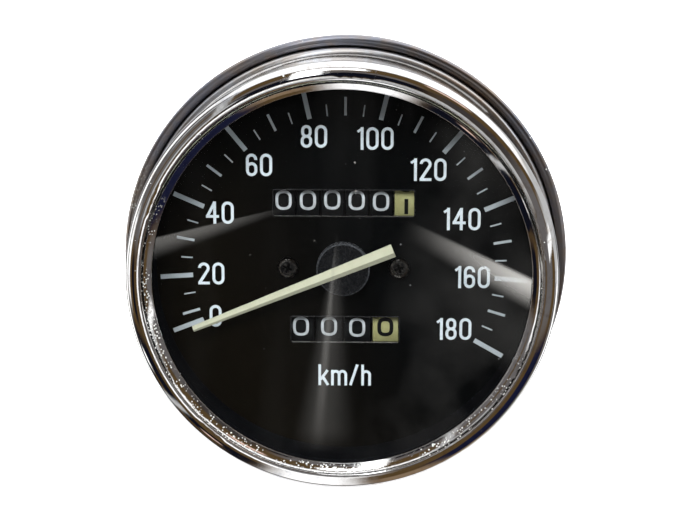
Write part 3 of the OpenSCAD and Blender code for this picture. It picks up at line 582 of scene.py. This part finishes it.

# %% [markdown]
# The hub is a turned disc in smooth black paint with a bevelled edge. The bevel is painted paler all
# round as a painted highlight, and the lamps make it brightest where it faces up. The disc's radius
# comes from its box in the CAD.

# %% Hub paint
hub_low, hub_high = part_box("needle_hub")
hub_radius = (hub_high.x - hub_low.x) / 2
BEVEL_FROM = hub_radius - 0.36 * MM
BEVEL_TO = hub_radius - 0.22 * MM
PAINTED_BEVEL_HIGHLIGHT = (0.060, 0.065, 0.071)
hub_finish = Finish("hub_black", (0.0035, 0.004, 0.0048), 0.24)
hub_finish.shader.inputs["Specular IOR Level"].default_value = 0.5
from_axis, _ = ring_parts(hub_finish)
bevel = hub_finish.smooth(from_axis, BEVEL_FROM, BEVEL_TO)
brushing = hub_finish.noise(1600, 0.30, 0.70)
flat_paint = hub_finish.blend(brushing, (0.0038, 0.0044, 0.0054), (0.0044, 0.0050, 0.0061))
# painted highlight: the bevel ring is paler than the face
hub_finish.colour(hub_finish.blend(bevel, flat_paint, PAINTED_BEVEL_HIGHLIGHT))
hub_finish.rough(brushing, 0.24, 0.30)
hub_finish.bump(brushing, 0.00001, 0.08)
finishes["hub_black"] = hub_finish.material
print("hub radius", round(hub_radius / MM, 2), "mm")

# %% [markdown]
# The screws are blackened steel, which still mirrors like a metal, only faintly. Their heads are
# worn a little paler by the screwdriver. The recess and the lowest part of the rim are painted near
# black as painted shade: a mask that grows with the height above the dial tells the shade from the face.

# %% Blackened screws
RECESS_LEVEL = 0.5 * MM
FACE_LEVEL = 0.9 * MM
PAINTED_RECESS_SHADE = (0.006, 0.006, 0.006)
screw_finish = Finish("black_steel", (0.13, 0.12, 0.10), 0.24, 1.0)
# painted shade: near black below the face level, in the recess and on the lowest rim
clear_of_recess_shade = screw_finish.towards((0, -1, 0), -dial_front + RECESS_LEVEL, -dial_front + FACE_LEVEL)
worn = screw_finish.noise(1500, 0.35, 0.65, detail=5)
worn_steel = screw_finish.blend(worn, (0.19, 0.185, 0.17), (0.07, 0.068, 0.064))
screw_finish.colour(screw_finish.blend(clear_of_recess_shade, PAINTED_RECESS_SHADE, worn_steel))
screw_finish.rough(worn, 0.16, 0.34)
screw_finish.bump(worn, 0.00003, 0.4)
finishes["black_steel"] = screw_finish.material
print("screw faces from", round(FACE_LEVEL / MM, 1), "mm above the dial")

# %% [markdown]
# All print on the dial is one layer of pale ink, but the ring of marks was printed thinner than
# the numbers and looks greyer. In the CAD the marks begin 29.1 mm from the axis and no number
# reaches that far, so the distance from the axis tells them apart.

# %% Prints and needle paint
MARKS_FROM = 29.0 * MM
EDGE = 0.1 * MM
THIN_INK = 0.60


def old_paint(name, fresh, aged, roughness, scale=700, thin_beyond=None):
    finish = Finish(name, fresh, roughness)
    finish.shader.inputs["Specular IOR Level"].default_value = 0.2
    wear = finish.noise(scale, 0.38, 0.66, detail=5)
    paint_colour = finish.blend(wear, fresh, aged)
    if thin_beyond:
        radius, _ = ring_parts(finish)
        thinner = tuple(THIN_INK * c for c in fresh)
        thin = finish.smooth(radius, thin_beyond - EDGE, thin_beyond)
        paint_colour = finish.blend(thin, paint_colour, thinner)
    finish.colour(paint_colour)
    finish.rough(wear, roughness - 0.05, roughness + 0.15)
    finish.bump(finish.noise(3000, 0.3, 0.7), 0.00001, 0.3)
    finishes[name] = finish.material


old_paint("dial_print", (0.80, 0.91, 0.97), (0.68, 0.78, 0.84), 0.6, thin_beyond=MARKS_FROM)
old_paint("needle_green", (0.56, 0.58, 0.44), (0.525, 0.545, 0.40), 0.55, 350)
old_paint("drum_yellow", (0.41, 0.42, 0.205), (0.30, 0.295, 0.13), 0.6, 260)
old_paint("drum_black", (0.0040, 0.0045, 0.0050), (0.0085, 0.009, 0.0095), 0.6, 260)
old_paint("drum_digits", (0.60, 0.66, 0.69), (0.45, 0.49, 0.51), 0.6)
print("ink beyond", round(MARKS_FROM / MM, 1), "mm is thinned to", THIN_INK)

# %% [markdown]
# ## Metals and plastics of the movement and the back
# Turned and sheet steel shows the direction in which it was worked. The same noise, squeezed
# along one axis, gives fine lines; unsqueezed it gives the cloudy look of zinc plating.


# %% Metals
TARNISH = 0.72


def worked_metal(name, colour, roughness, squeeze=(1, 1, 1), scale=900):
    finish = Finish(name, colour, roughness, 1.0)
    lines = finish.noise(scale, 0.35, 0.65, detail=5, place=finish.stretched(squeeze))
    cloud = finish.noise(140, 0.35, 0.65)
    darker = tuple(c * TARNISH for c in colour)
    finish.colour(finish.blend(finish.times(lines, cloud), colour, darker))
    finish.rough(lines, roughness - 0.06, roughness + 0.14)
    finish.bump(lines, 0.00002, 0.3)
    finishes[name] = finish.material


worked_metal("plated_steel", (0.55, 0.54, 0.52), 0.34)
worked_metal("zinc_steel", (0.62, 0.54, 0.34), 0.36)
worked_metal("plain_steel", (0.60, 0.60, 0.60), 0.28, (1, 8, 1))
worked_metal("bronze", (0.62, 0.42, 0.18), 0.34)
worked_metal("cup_aluminium", (0.78, 0.78, 0.79), 0.32, (1, 8, 1))
worked_metal("magnet_iron", (0.20, 0.20, 0.21), 0.5)
print(len(finishes), "finishes so far")

# %% [markdown]
# Bulb holders and knob are moulded in black plastic, washers and gasket are rubber, and the gears
# are pale plastic that has yellowed. A moulded surface has an even fine grain from its mould and a
# low gloss; rubber has a finer grain and hardly any gloss.


# %% Plastics and rubber
def moulded(name, colour, lighter, roughness, scale=1200, depth=0.00002):
    finish = Finish(name, colour, roughness)
    finish.shader.inputs["Specular IOR Level"].default_value = 0.35
    grain = finish.noise(scale, 0.35, 0.65)
    cloud = finish.noise(160, 0.35, 0.65)
    finish.colour(finish.blend(cloud, colour, lighter))
    finish.rough(grain, roughness - 0.08, roughness + 0.1)
    finish.bump(grain, depth, 0.5)
    finishes[name] = finish.material


moulded("black_rubber", (0.012, 0.012, 0.012), (0.030, 0.029, 0.028), 0.75, 1500)
moulded("black_plastic", (0.016, 0.016, 0.016), (0.030, 0.030, 0.030), 0.5)
moulded("gear_plastic", (0.68, 0.62, 0.42), (0.60, 0.52, 0.33), 0.45)
print(len(finishes), "finishes so far")

# %% [markdown]
# ## The glass
# The lens is flat and clear. Seen almost square on, it only adds a faint reflection, so it is a
# nearly invisible, smooth surface here. That also lets the lamps shine through it, which true
# refracting glass would block.

# %% Lens material
GLASS_COVER = 0.04
lens_finish = Finish("lens_glass", (0.02, 0.02, 0.02), 0.03)
lens_finish.shader.inputs["Specular IOR Level"].default_value = 0.5
lens_finish.rough(lens_finish.noise(60, 0.3, 0.7), 0.02, 0.06)
lens_finish.shader.inputs["Alpha"].default_value = GLASS_COVER
finishes["lens_glass"] = lens_finish.material
print("the glass covers", GLASS_COVER, "of what is behind it")

# %% [markdown]
# ## Dressing the CAD nodes
# Each solid already knows its material slot from the record, so dressing all of them is one
# loop. The slot's name is the finish's name.

# %% Dress the solids
for part in frame["record"]["subparts"]:
    solid = frame["nodes"][part["node"]]
    solid.data.materials.clear()
    solid.data.materials.append(finishes[part["material_slot"]])

# %% [markdown]
# ## Digits for the number drums
# Each drum carries the digits 0 to 9 round its rim. A digit is drawn as one or two pen strokes,
# given by corner points in a box one unit wide and one high, with rounded corners. A stroke is
# then widened to a band, given a thickness, and wrapped round the drum. Drawing with strokes
# keeps every digit at the same pen width, as the tool that made the originals did.

# %% Pen strokes of the digits
DIGIT_STROKES = {
    0: [([(0, 0), (0, 1), (1, 1), (1, 0)], True)],
    1: [([(0.57, 1), (0.57, 0)], False)],
    2: [([(0, 0.80), (0, 1), (1, 1), (1, 0.52), (0, 0.16), (0, 0), (1, 0)], False)],
    3: [([(0, 0.82), (0, 1), (1, 1), (1, 0.54), (0.35, 0.54)], False),
        ([(0.35, 0.54), (1, 0.54), (1, 0), (0, 0), (0, 0.18)], False)],
    4: [([(0.74, 0), (0.74, 1), (0, 0.28), (1, 0.28)], False)],
    5: [([(0.95, 1), (0.05, 1), (0.03, 0.56), (1, 0.56), (1, 0), (0, 0), (0, 0.16)], False)],
    6: [([(0.95, 0.84), (0.95, 1), (0, 1), (0, 0), (1, 0), (1, 0.56), (0.05, 0.56)], False)],
    7: [([(0, 1), (1, 1), (0.36, 0)], False)],
    8: [([(0, 0), (0, 0.54), (1, 0.54), (1, 0)], True),
        ([(0.04, 0.54), (0.04, 1), (0.96, 1), (0.96, 0.54)], True)],
    9: [([(0.05, 0.16), (0.05, 0), (1, 0), (1, 1), (0, 1), (0, 0.44), (0.95, 0.44)], False)],
}
DIGIT_HEIGHT = 3.80 * MM
DIGIT_WIDTH = 3.13 * MM
DIGIT_CORNER = 1.25 * MM
PEN = 0.54 * MM
BOLD_PEN = 0.74 * MM
print("strokes for", len(DIGIT_STROKES), "digits")

# %% [markdown]
# Three helpers turn corner points into a band. The first rounds the corners, the second finds
# the left and right edge of the pen's track, and the third adds points on straight stretches,
# because a stretch without points can't bend round a drum.


# %% From strokes to bands
LONGEST_STEP = 0.4 * MM
SHARPEST_MITRE = 0.6
NEARLY_HALF = 0.48


def rounded(corners, closed, radius, steps=5):
    """The corner points with each corner replaced by a short curve."""
    count = len(corners)
    path = []
    for i, here in enumerate(corners):
        here = Vector(here)
        if not closed and i in (0, count - 1):
            path.append(here)
            continue
        before = Vector(corners[i - 1]) - here
        after = Vector(corners[(i + 1) % count]) - here
        reach = min(radius, before.length * NEARLY_HALF, after.length * NEARLY_HALF)
        start = here + before.normalized() * reach
        end = here + after.normalized() * reach
        for k in range(steps + 1):
            t = k / steps
            path.append(start * (1 - t) ** 2 + here * 2 * t * (1 - t) + end * t ** 2)
    return path


def band(path, closed, width):
    """Left and right edges of a pen stroke along a path."""
    count = len(path)
    left, right = [], []
    for i, here in enumerate(path):
        before = path[i - 1] if closed or i > 0 else here
        after = path[(i + 1) % count] if closed or i < count - 1 else here
        way_in = (here - before if (here - before).length > 0 else after - here).normalized()
        way_out = (after - here).normalized() if (after - here).length > 0 else way_in
        way = (way_in + way_out).normalized()
        side = Vector((-way.y, way.x))
        stretch = 1 / max(SHARPEST_MITRE, way.dot(way_out))
        left.append(here + side * width / 2 * stretch)
        right.append(here - side * width / 2 * stretch)
    return left, right


def densify(path, closed, step):
    """Extra points on the straight stretches, so that they can bend round a drum."""
    result = []
    count = len(path)
    for i in range(count if closed else count - 1):
        here, after = path[i], path[(i + 1) % count]
        parts = max(1, math.ceil((after - here).length / step))
        result += [here.lerp(after, k / parts) for k in range(parts)]
    if not closed:
        result.append(path[-1])
    return result


def digit_bands(digit, pen):
    """The digit's strokes as pairs of edges, in metres about its centre."""
    size = Vector((DIGIT_WIDTH - pen, DIGIT_HEIGHT - pen))
    bands = []
    for corners, closed in DIGIT_STROKES[digit]:
        points = [((x - 0.5) * size.x, (y - 0.5) * size.y) for x, y in corners]
        path = densify(rounded(points, closed, DIGIT_CORNER), closed, LONGEST_STEP)
        bands.append((*band(path, closed, pen), closed))
    return bands


print("a 0 has", len(digit_bands(0, PEN)[0][0]), "points along its edge")

# %% [markdown]
# A drum shows the next digit from below when it counts up, so the digits follow each other
# downwards. `shown` is what stands in the middle of the window at rest. It is close to 0 for most
# drums, but never quite, because each sits a little askew. The last drum of the main counter was
# caught while turning, about three quarters of the way to its 1.

# %% Print the digits on the drums
PRINT_HEIGHT = 0.04 * MM
PRINT_SHIFT = -0.12 * MM
DIGIT_TURN = math.radians(36)


def outward_normals(piece):
    """Turns all faces of a closed piece the right way round."""
    fix = bmesh.new()
    fix.from_mesh(piece.data)
    bmesh.ops.recalc_face_normals(fix, faces=fix.faces)
    fix.to_mesh(piece.data)
    fix.free()


def band_faces(first, count, closed):
    """Faces of a band with four rows of points: left low, left high, right low, right high."""
    left_low, left_high, right_low, right_high = (first + k * count for k in range(4))
    faces = []
    for i in range(count if closed else count - 1):
        j = (i + 1) % count
        faces += [(left_high + i, left_high + j, right_high + j, right_high + i),
                  (left_low + i, right_low + i, right_low + j, left_low + j),
                  (left_low + i, left_low + j, left_high + j, left_high + i),
                  (right_low + i, right_high + i, right_high + j, right_low + j)]
    if not closed:
        e = count - 1
        faces += [(left_low, left_high, right_high, right_low),
                  (left_low + e, right_low + e, right_high + e, left_high + e)]
    return faces


def print_drum(name, body, ink, pen, shown):
    low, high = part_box(name)
    centre = (low + high) / 2
    radius = (high.z - low.z) / 2
    points, faces = [], []
    for digit in DIGIT_STROKES:
        middle = DIGIT_TURN * (shown - digit)
        for left, right, closed in digit_bands(digit, pen):
            faces += band_faces(len(points), len(left), closed)
            for side in (left, right):
                for lift in (0, PRINT_HEIGHT):
                    for p in side:
                        turn = middle + p.y / radius
                        points.append((centre.x + PRINT_SHIFT + p.x,
                                       centre.y - (radius + lift) * math.cos(turn),
                                       centre.z + (radius + lift) * math.sin(turn)))
    piece = new_object(name + "_digits", mesh_from(name + "_digits", points, faces))
    outward_normals(piece)
    piece.data.materials.append(finishes[ink])
    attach(piece, body)
    return piece


MAIN_SHOWN = {1: 0.775, 2: -0.015, 3: 0.02, 4: 0.04, 5: 0.02, 6: 0.02}
TRIP_SHOWN = {1: 0.01, 2: -0.02, 3: 0.02, 4: 0.015}
for counter, places in (("main", MAIN_SHOWN), ("trip", TRIP_SHOWN)):
    for n, shown in places.items():
        ink, pen = ("drum_black", BOLD_PEN) if n == 1 else ("drum_digits", PEN)
        print_drum("%s_drum_%d" % (counter, n), "%s_counter_%d" % (counter, n), ink, pen, shown)
print("digits printed on", len(MAIN_SHOWN) + len(TRIP_SHOWN), "drums")

# %% [markdown]
# ## Window lips
# The counter windows are punched, and the punch leaves a low rounded lip round each opening. A
# lip is one closed band with a rounded top, swept round the window's rectangle with rounded
# corners. Below each window the faces that look up get a second material, pale plated steel, as a
# painted highlight: a thin light line along the lower edge.


# %% Sweep a lip round each window
# Points of the lip's cross-section in mm: outwards from the window's edge, and up from the dial.
LIP_PROFILE = [(-0.02, -0.35), (-0.02, 0.05), (0.05, 0.10), (0.15, 0.10), (0.22, 0.04), (0.22, -0.02)]
LIP_CORNER = 0.35 * MM
LIP_STEPS = 6
FACES_UP = 0.5


def window_lip(name, x0, x1, z0, z1):
    path = rounded([(x0, z0), (x1, z0), (x1, z1), (x0, z1)], True, LIP_CORNER, LIP_STEPS)
    middle = Vector(((x0 + x1) / 2, (z0 + z1) / 2))
    points, faces = [], []
    count = len(path)
    for i, here in enumerate(path):
        way = (path[(i + 1) % count] - path[i - 1]).normalized()
        outward = Vector((way.y, -way.x))
        if outward.dot(here - middle) < 0:
            outward = -outward
        for out, lift in LIP_PROFILE:
            place = here + outward * out * MM
            points.append((place.x, dial_front - lift * MM, place.y))
    steps = len(LIP_PROFILE)
    for i in range(count):
        j = (i + 1) % count
        for k in range(steps):
            m = (k + 1) % steps
            faces.append((i * steps + k, j * steps + k, j * steps + m, i * steps + m))
    piece = new_object(name, mesh_from(name, points, faces))
    outward_normals(piece)
    piece.data.materials.append(finishes["lip_black"])
    piece.data.materials.append(finishes["plated_steel"])
    for face in piece.data.polygons:
        face.use_smooth = True
        # painted highlight: faces below the window that look up get pale metal
        painted_highlight_face = face.normal.z > FACES_UP and face.center.z < middle.y
        face.material_index = 1 if painted_highlight_face else 0
    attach(piece, "housing")
    return piece


MAIN_WINDOW = [v * MM for v in (-13.45, 13.50, 9.85, 14.81)]
TRIP_WINDOW = [v * MM for v in (-10.13, 10.69, -14.89, -9.92)]
window_lip("main_window_lip", *MAIN_WINDOW)
window_lip("trip_window_lip", *TRIP_WINDOW)
print("lips round windows", [round((w[1] - w[0]) / MM, 1) for w in (MAIN_WINDOW, TRIP_WINDOW)], "mm wide")

# %% [markdown]
# ## Real threads on the back
# The CAD keeps studs and union as plain cylinders, because a modelled thread is slow to compute
# with. In the picture from behind it would look unfinished, so here they get a real helix: rows
# of points round the axis, whose radius follows a triangular wave. Rows before the thread make a
# collar, and rows after it go back inwards and make a bore.


# %% Threaded pieces
ROUND_THREAD = 40
ROWS_PER_TURN = 8
THREAD_DEPTH = 0.45
CHAMFER = 0.8


def thread_row(y, start, end, radius, pitch):
    """The radii of one row of points, in mm: a triangular wave that moves round with y."""
    fading_in = min(1.0, (y - start) / pitch)
    most = radius - max(0.0, CHAMFER - (end - y))
    radii = []
    for k in range(ROUND_THREAD):
        wave = abs(2 * (((y - start) / pitch - k / ROUND_THREAD) % 1.0) - 1)
        radii.append(min(radius - THREAD_DEPTH * wave * fading_in, most))
    return radii


def threaded(name, node, centre, thread, slot_name, before=(), after=()):
    """before and after are rows as (y, radius) in mm; thread is from, to, radius and pitch in mm."""
    around = ROUND_THREAD
    start, end, _, pitch = thread
    rows = [(y, [r] * around) for y, r in before]
    count = math.ceil((end - start) / pitch * ROWS_PER_TURN)
    for row in range(count + 1):
        y = start + (end - start) * row / count
        rows.append((y, thread_row(y, *thread)))
    rows += [(y, [r] * around) for y, r in after]
    points = []
    for y, radii in rows:
        for k, r in enumerate(radii):
            turn = 2 * math.pi * k / around
            points.append(((centre[0] + r * math.cos(turn)) * MM, y * MM,
                           (centre[1] + r * math.sin(turn)) * MM))
    closed = len(after) > 0
    faces = []
    for row in range(len(rows) if closed else len(rows) - 1):
        here, there = row * around, (row + 1) % len(rows) * around
        for k in range(around):
            j = (k + 1) % around
            faces.append((here + k, here + j, there + j, there + k))
    if not closed:
        faces.append(tuple(range(around)))
        faces.append(tuple(range((len(rows) - 1) * around, len(rows) * around)))
    piece = new_object(name, mesh_from(name, points, faces))
    outward_normals(piece)
    piece.data.materials.append(finishes[slot_name])
    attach(piece, "housing")
    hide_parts(node)
    return piece


# All in mm. The studs stand one over the other, and the union is in the middle.
PITCH = 1.0
STUD_PLACE = 20
STUD_FROM = -1.5
STUD_RADIUS = 3
stud_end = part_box("mounting_studs")[1].y / MM
for word, z in (("upper", STUD_PLACE), ("lower", -STUD_PLACE)):
    thread = (STUD_FROM, stud_end, STUD_RADIUS, PITCH)
    threaded("%s_stud" % word, "mounting_studs", (0, z), thread, "zinc_steel")

UNION_RADIUS = 6
UNION_THREAD_FROM = 1.0
COLLAR_RADIUS = 9
COLLAR_DEPTH = 1.6
NECK_RADIUS = 7.2
MOUTH_RADIUS = 4.2
MOUTH_DEPTH = 6.3
BORE_RADIUS = 3.4
union_low, union_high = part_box("cable_union")
union_front, union_end = union_low.y / MM, union_high.y / MM
collar_end = union_front + COLLAR_DEPTH
mouth_floor = union_end - MOUTH_DEPTH
union_thread = (UNION_THREAD_FROM, union_end, UNION_RADIUS, PITCH)
threaded("union_body", "cable_union", (0, 0), union_thread, "plated_steel",
         before=[(union_front, COLLAR_RADIUS), (collar_end, COLLAR_RADIUS),
                 (collar_end, NECK_RADIUS), (UNION_THREAD_FROM, NECK_RADIUS)],
         after=[(union_end, MOUTH_RADIUS), (mouth_floor, MOUTH_RADIUS),
                (mouth_floor, BORE_RADIUS), (union_front, BORE_RADIUS)])
print("studs reach y =", round(stud_end, 1), "mm and the union y =", round(union_end, 1), "mm")

# %% [markdown]
# ## Dust and painted glare on the glass
# The old glass carries dust and smears. The glare that the glass reflects is painted on it as pale
# fans, painted reflections: one spreads down from the needle's hub, one comes in from the left and
# one from the right. A separate disc a hair in front of the lens carries them. Its opacity is
# painted with angles about each fan's tip: a fan is bright between two angles and fades along its length.

# %% Disc for the film
FILM_RADIUS = 34.9 * MM
FILM_GAP = 0.03 * MM
film_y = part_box("glass_lens")[0].y - FILM_GAP
RINGS = 6
AROUND = 96
film_points = [(0, film_y, 0)]
for ring in range(1, RINGS + 1):
    for k in range(AROUND):
        turn = 2 * math.pi * k / AROUND
        r = FILM_RADIUS * ring / RINGS
        film_points.append((r * math.cos(turn), film_y, r * math.sin(turn)))
film_faces = [(0, 1 + k, 1 + (k + 1) % AROUND) for k in range(AROUND)]
for ring in range(RINGS - 1):
    for k in range(AROUND):
        a, b = 1 + ring * AROUND + k, 1 + ring * AROUND + (k + 1) % AROUND
        film_faces.append((a, a + AROUND, b + AROUND, b))
film = new_object("lens_dust_and_glare", mesh_from("lens_dust_and_glare", film_points, film_faces))
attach(film, "housing")
print("film disc", round(2 * FILM_RADIUS / MM, 1), "mm across")

# %% [markdown]
# Dust and painted glare are one dull pale finish whose opacity does all the work. A fan of painted
# reflection is a mask made from the angle about its tip, so it can be aimed and opened like a
# torch. A wide cloud of painted glare on the right, streaks from the wiping cloth and a few grains
# of dust come from noise and cells.


# %% Fans of painted glare, and dust
film_finish = Finish("lens_dust_and_glare", (0.62, 0.61, 0.58), 0.9)
film_finish.shader.inputs["Specular IOR Level"].default_value = 0.0


def fan(tip, heading, spread, reach):
    """A mask about a tip at (x, z) in mm: bright at its heading, gone at the spread's two angles."""
    times = film_finish.times
    place = film_finish.tree.nodes.new("ShaderNodeSeparateXYZ")
    film_finish.link(film_finish.place, place.inputs[0])
    across = times(place.outputs["X"], tip[0] * MM, "SUBTRACT")
    up = times(place.outputs["Z"], tip[1] * MM, "SUBTRACT")
    turn = math.radians(heading)
    along = times(times(across, math.cos(turn)), times(up, math.sin(turn)), "ADD")
    aside = times(times(up, math.cos(turn)), times(across, math.sin(turn)), "SUBTRACT")
    angle = times(times(aside, along, "ARCTAN2"), DEGREES)
    one_side = film_finish.smooth(angle, spread[0], 0)
    other_side = film_finish.smooth(angle, spread[1], 0)
    start = film_finish.smooth(along, reach[0] * MM, reach[1] * MM)
    return times(times(one_side, other_side), start)


FAN_FOOT = -33 * MM
# The fans, the haze and the cloud are painted reflections of glare on the glass; the specks are dust.
hub_painted_glare = fan((-0.6, 9.5), -95.2, (-8.0, 11.5), (-1, 14))
hub_glare_core = fan((-0.6, 12.0), -95.2, (-2.4, 2.4), (1, 16))
hub_painted_glare = film_finish.times(hub_painted_glare, film_finish.towards((0, 0, 1), FAN_FOOT, -28.5 * MM))
hub_glare_core = film_finish.times(hub_glare_core, film_finish.towards((0, 0, 1), FAN_FOOT, -15 * MM))
left_painted_glare = fan((-1.6, 15.7), -165.8, (-0.9, 6.5), (6, 28))
right_painted_glare = fan((-42.9, 37.5), -25.9, (-3.4, 0.7), (60, 92))
right_glare_haze = fan((-4.7, 19.2), -38, (-10, 9), (14, 40))
right_glare_cloud = film_finish.times(film_finish.noise(70, 0.40, 0.75, detail=3),
                                film_finish.towards((1, 0, -0.25), 8 * MM, 16 * MM))
streaks = film_finish.noise(60, 0.50, 0.80, detail=3, place=film_finish.stretched((1.6, 1, 0.25)))
specks = film_finish.times(film_finish.cells(330, 0.09, 0.05), film_finish.noise(210, 0.62, 0.66))
opacity = film_finish.times(streaks, 0.006)
LAYERS = ((hub_painted_glare, 0.05), (hub_glare_core, 0.09), (left_painted_glare, 0.15), (right_painted_glare, 0.80),
          (right_glare_haze, 0.02), (right_glare_cloud, 0.03), (specks, 0.35))
for mask, strength in LAYERS:
    opacity = film_finish.times(opacity, film_finish.times(mask, strength), "ADD")
film_finish.link(opacity, film_finish.shader.inputs["Alpha"])
film.data.materials.append(film_finish.material)
print("film of", len(LAYERS), "layers of dust on the glass")
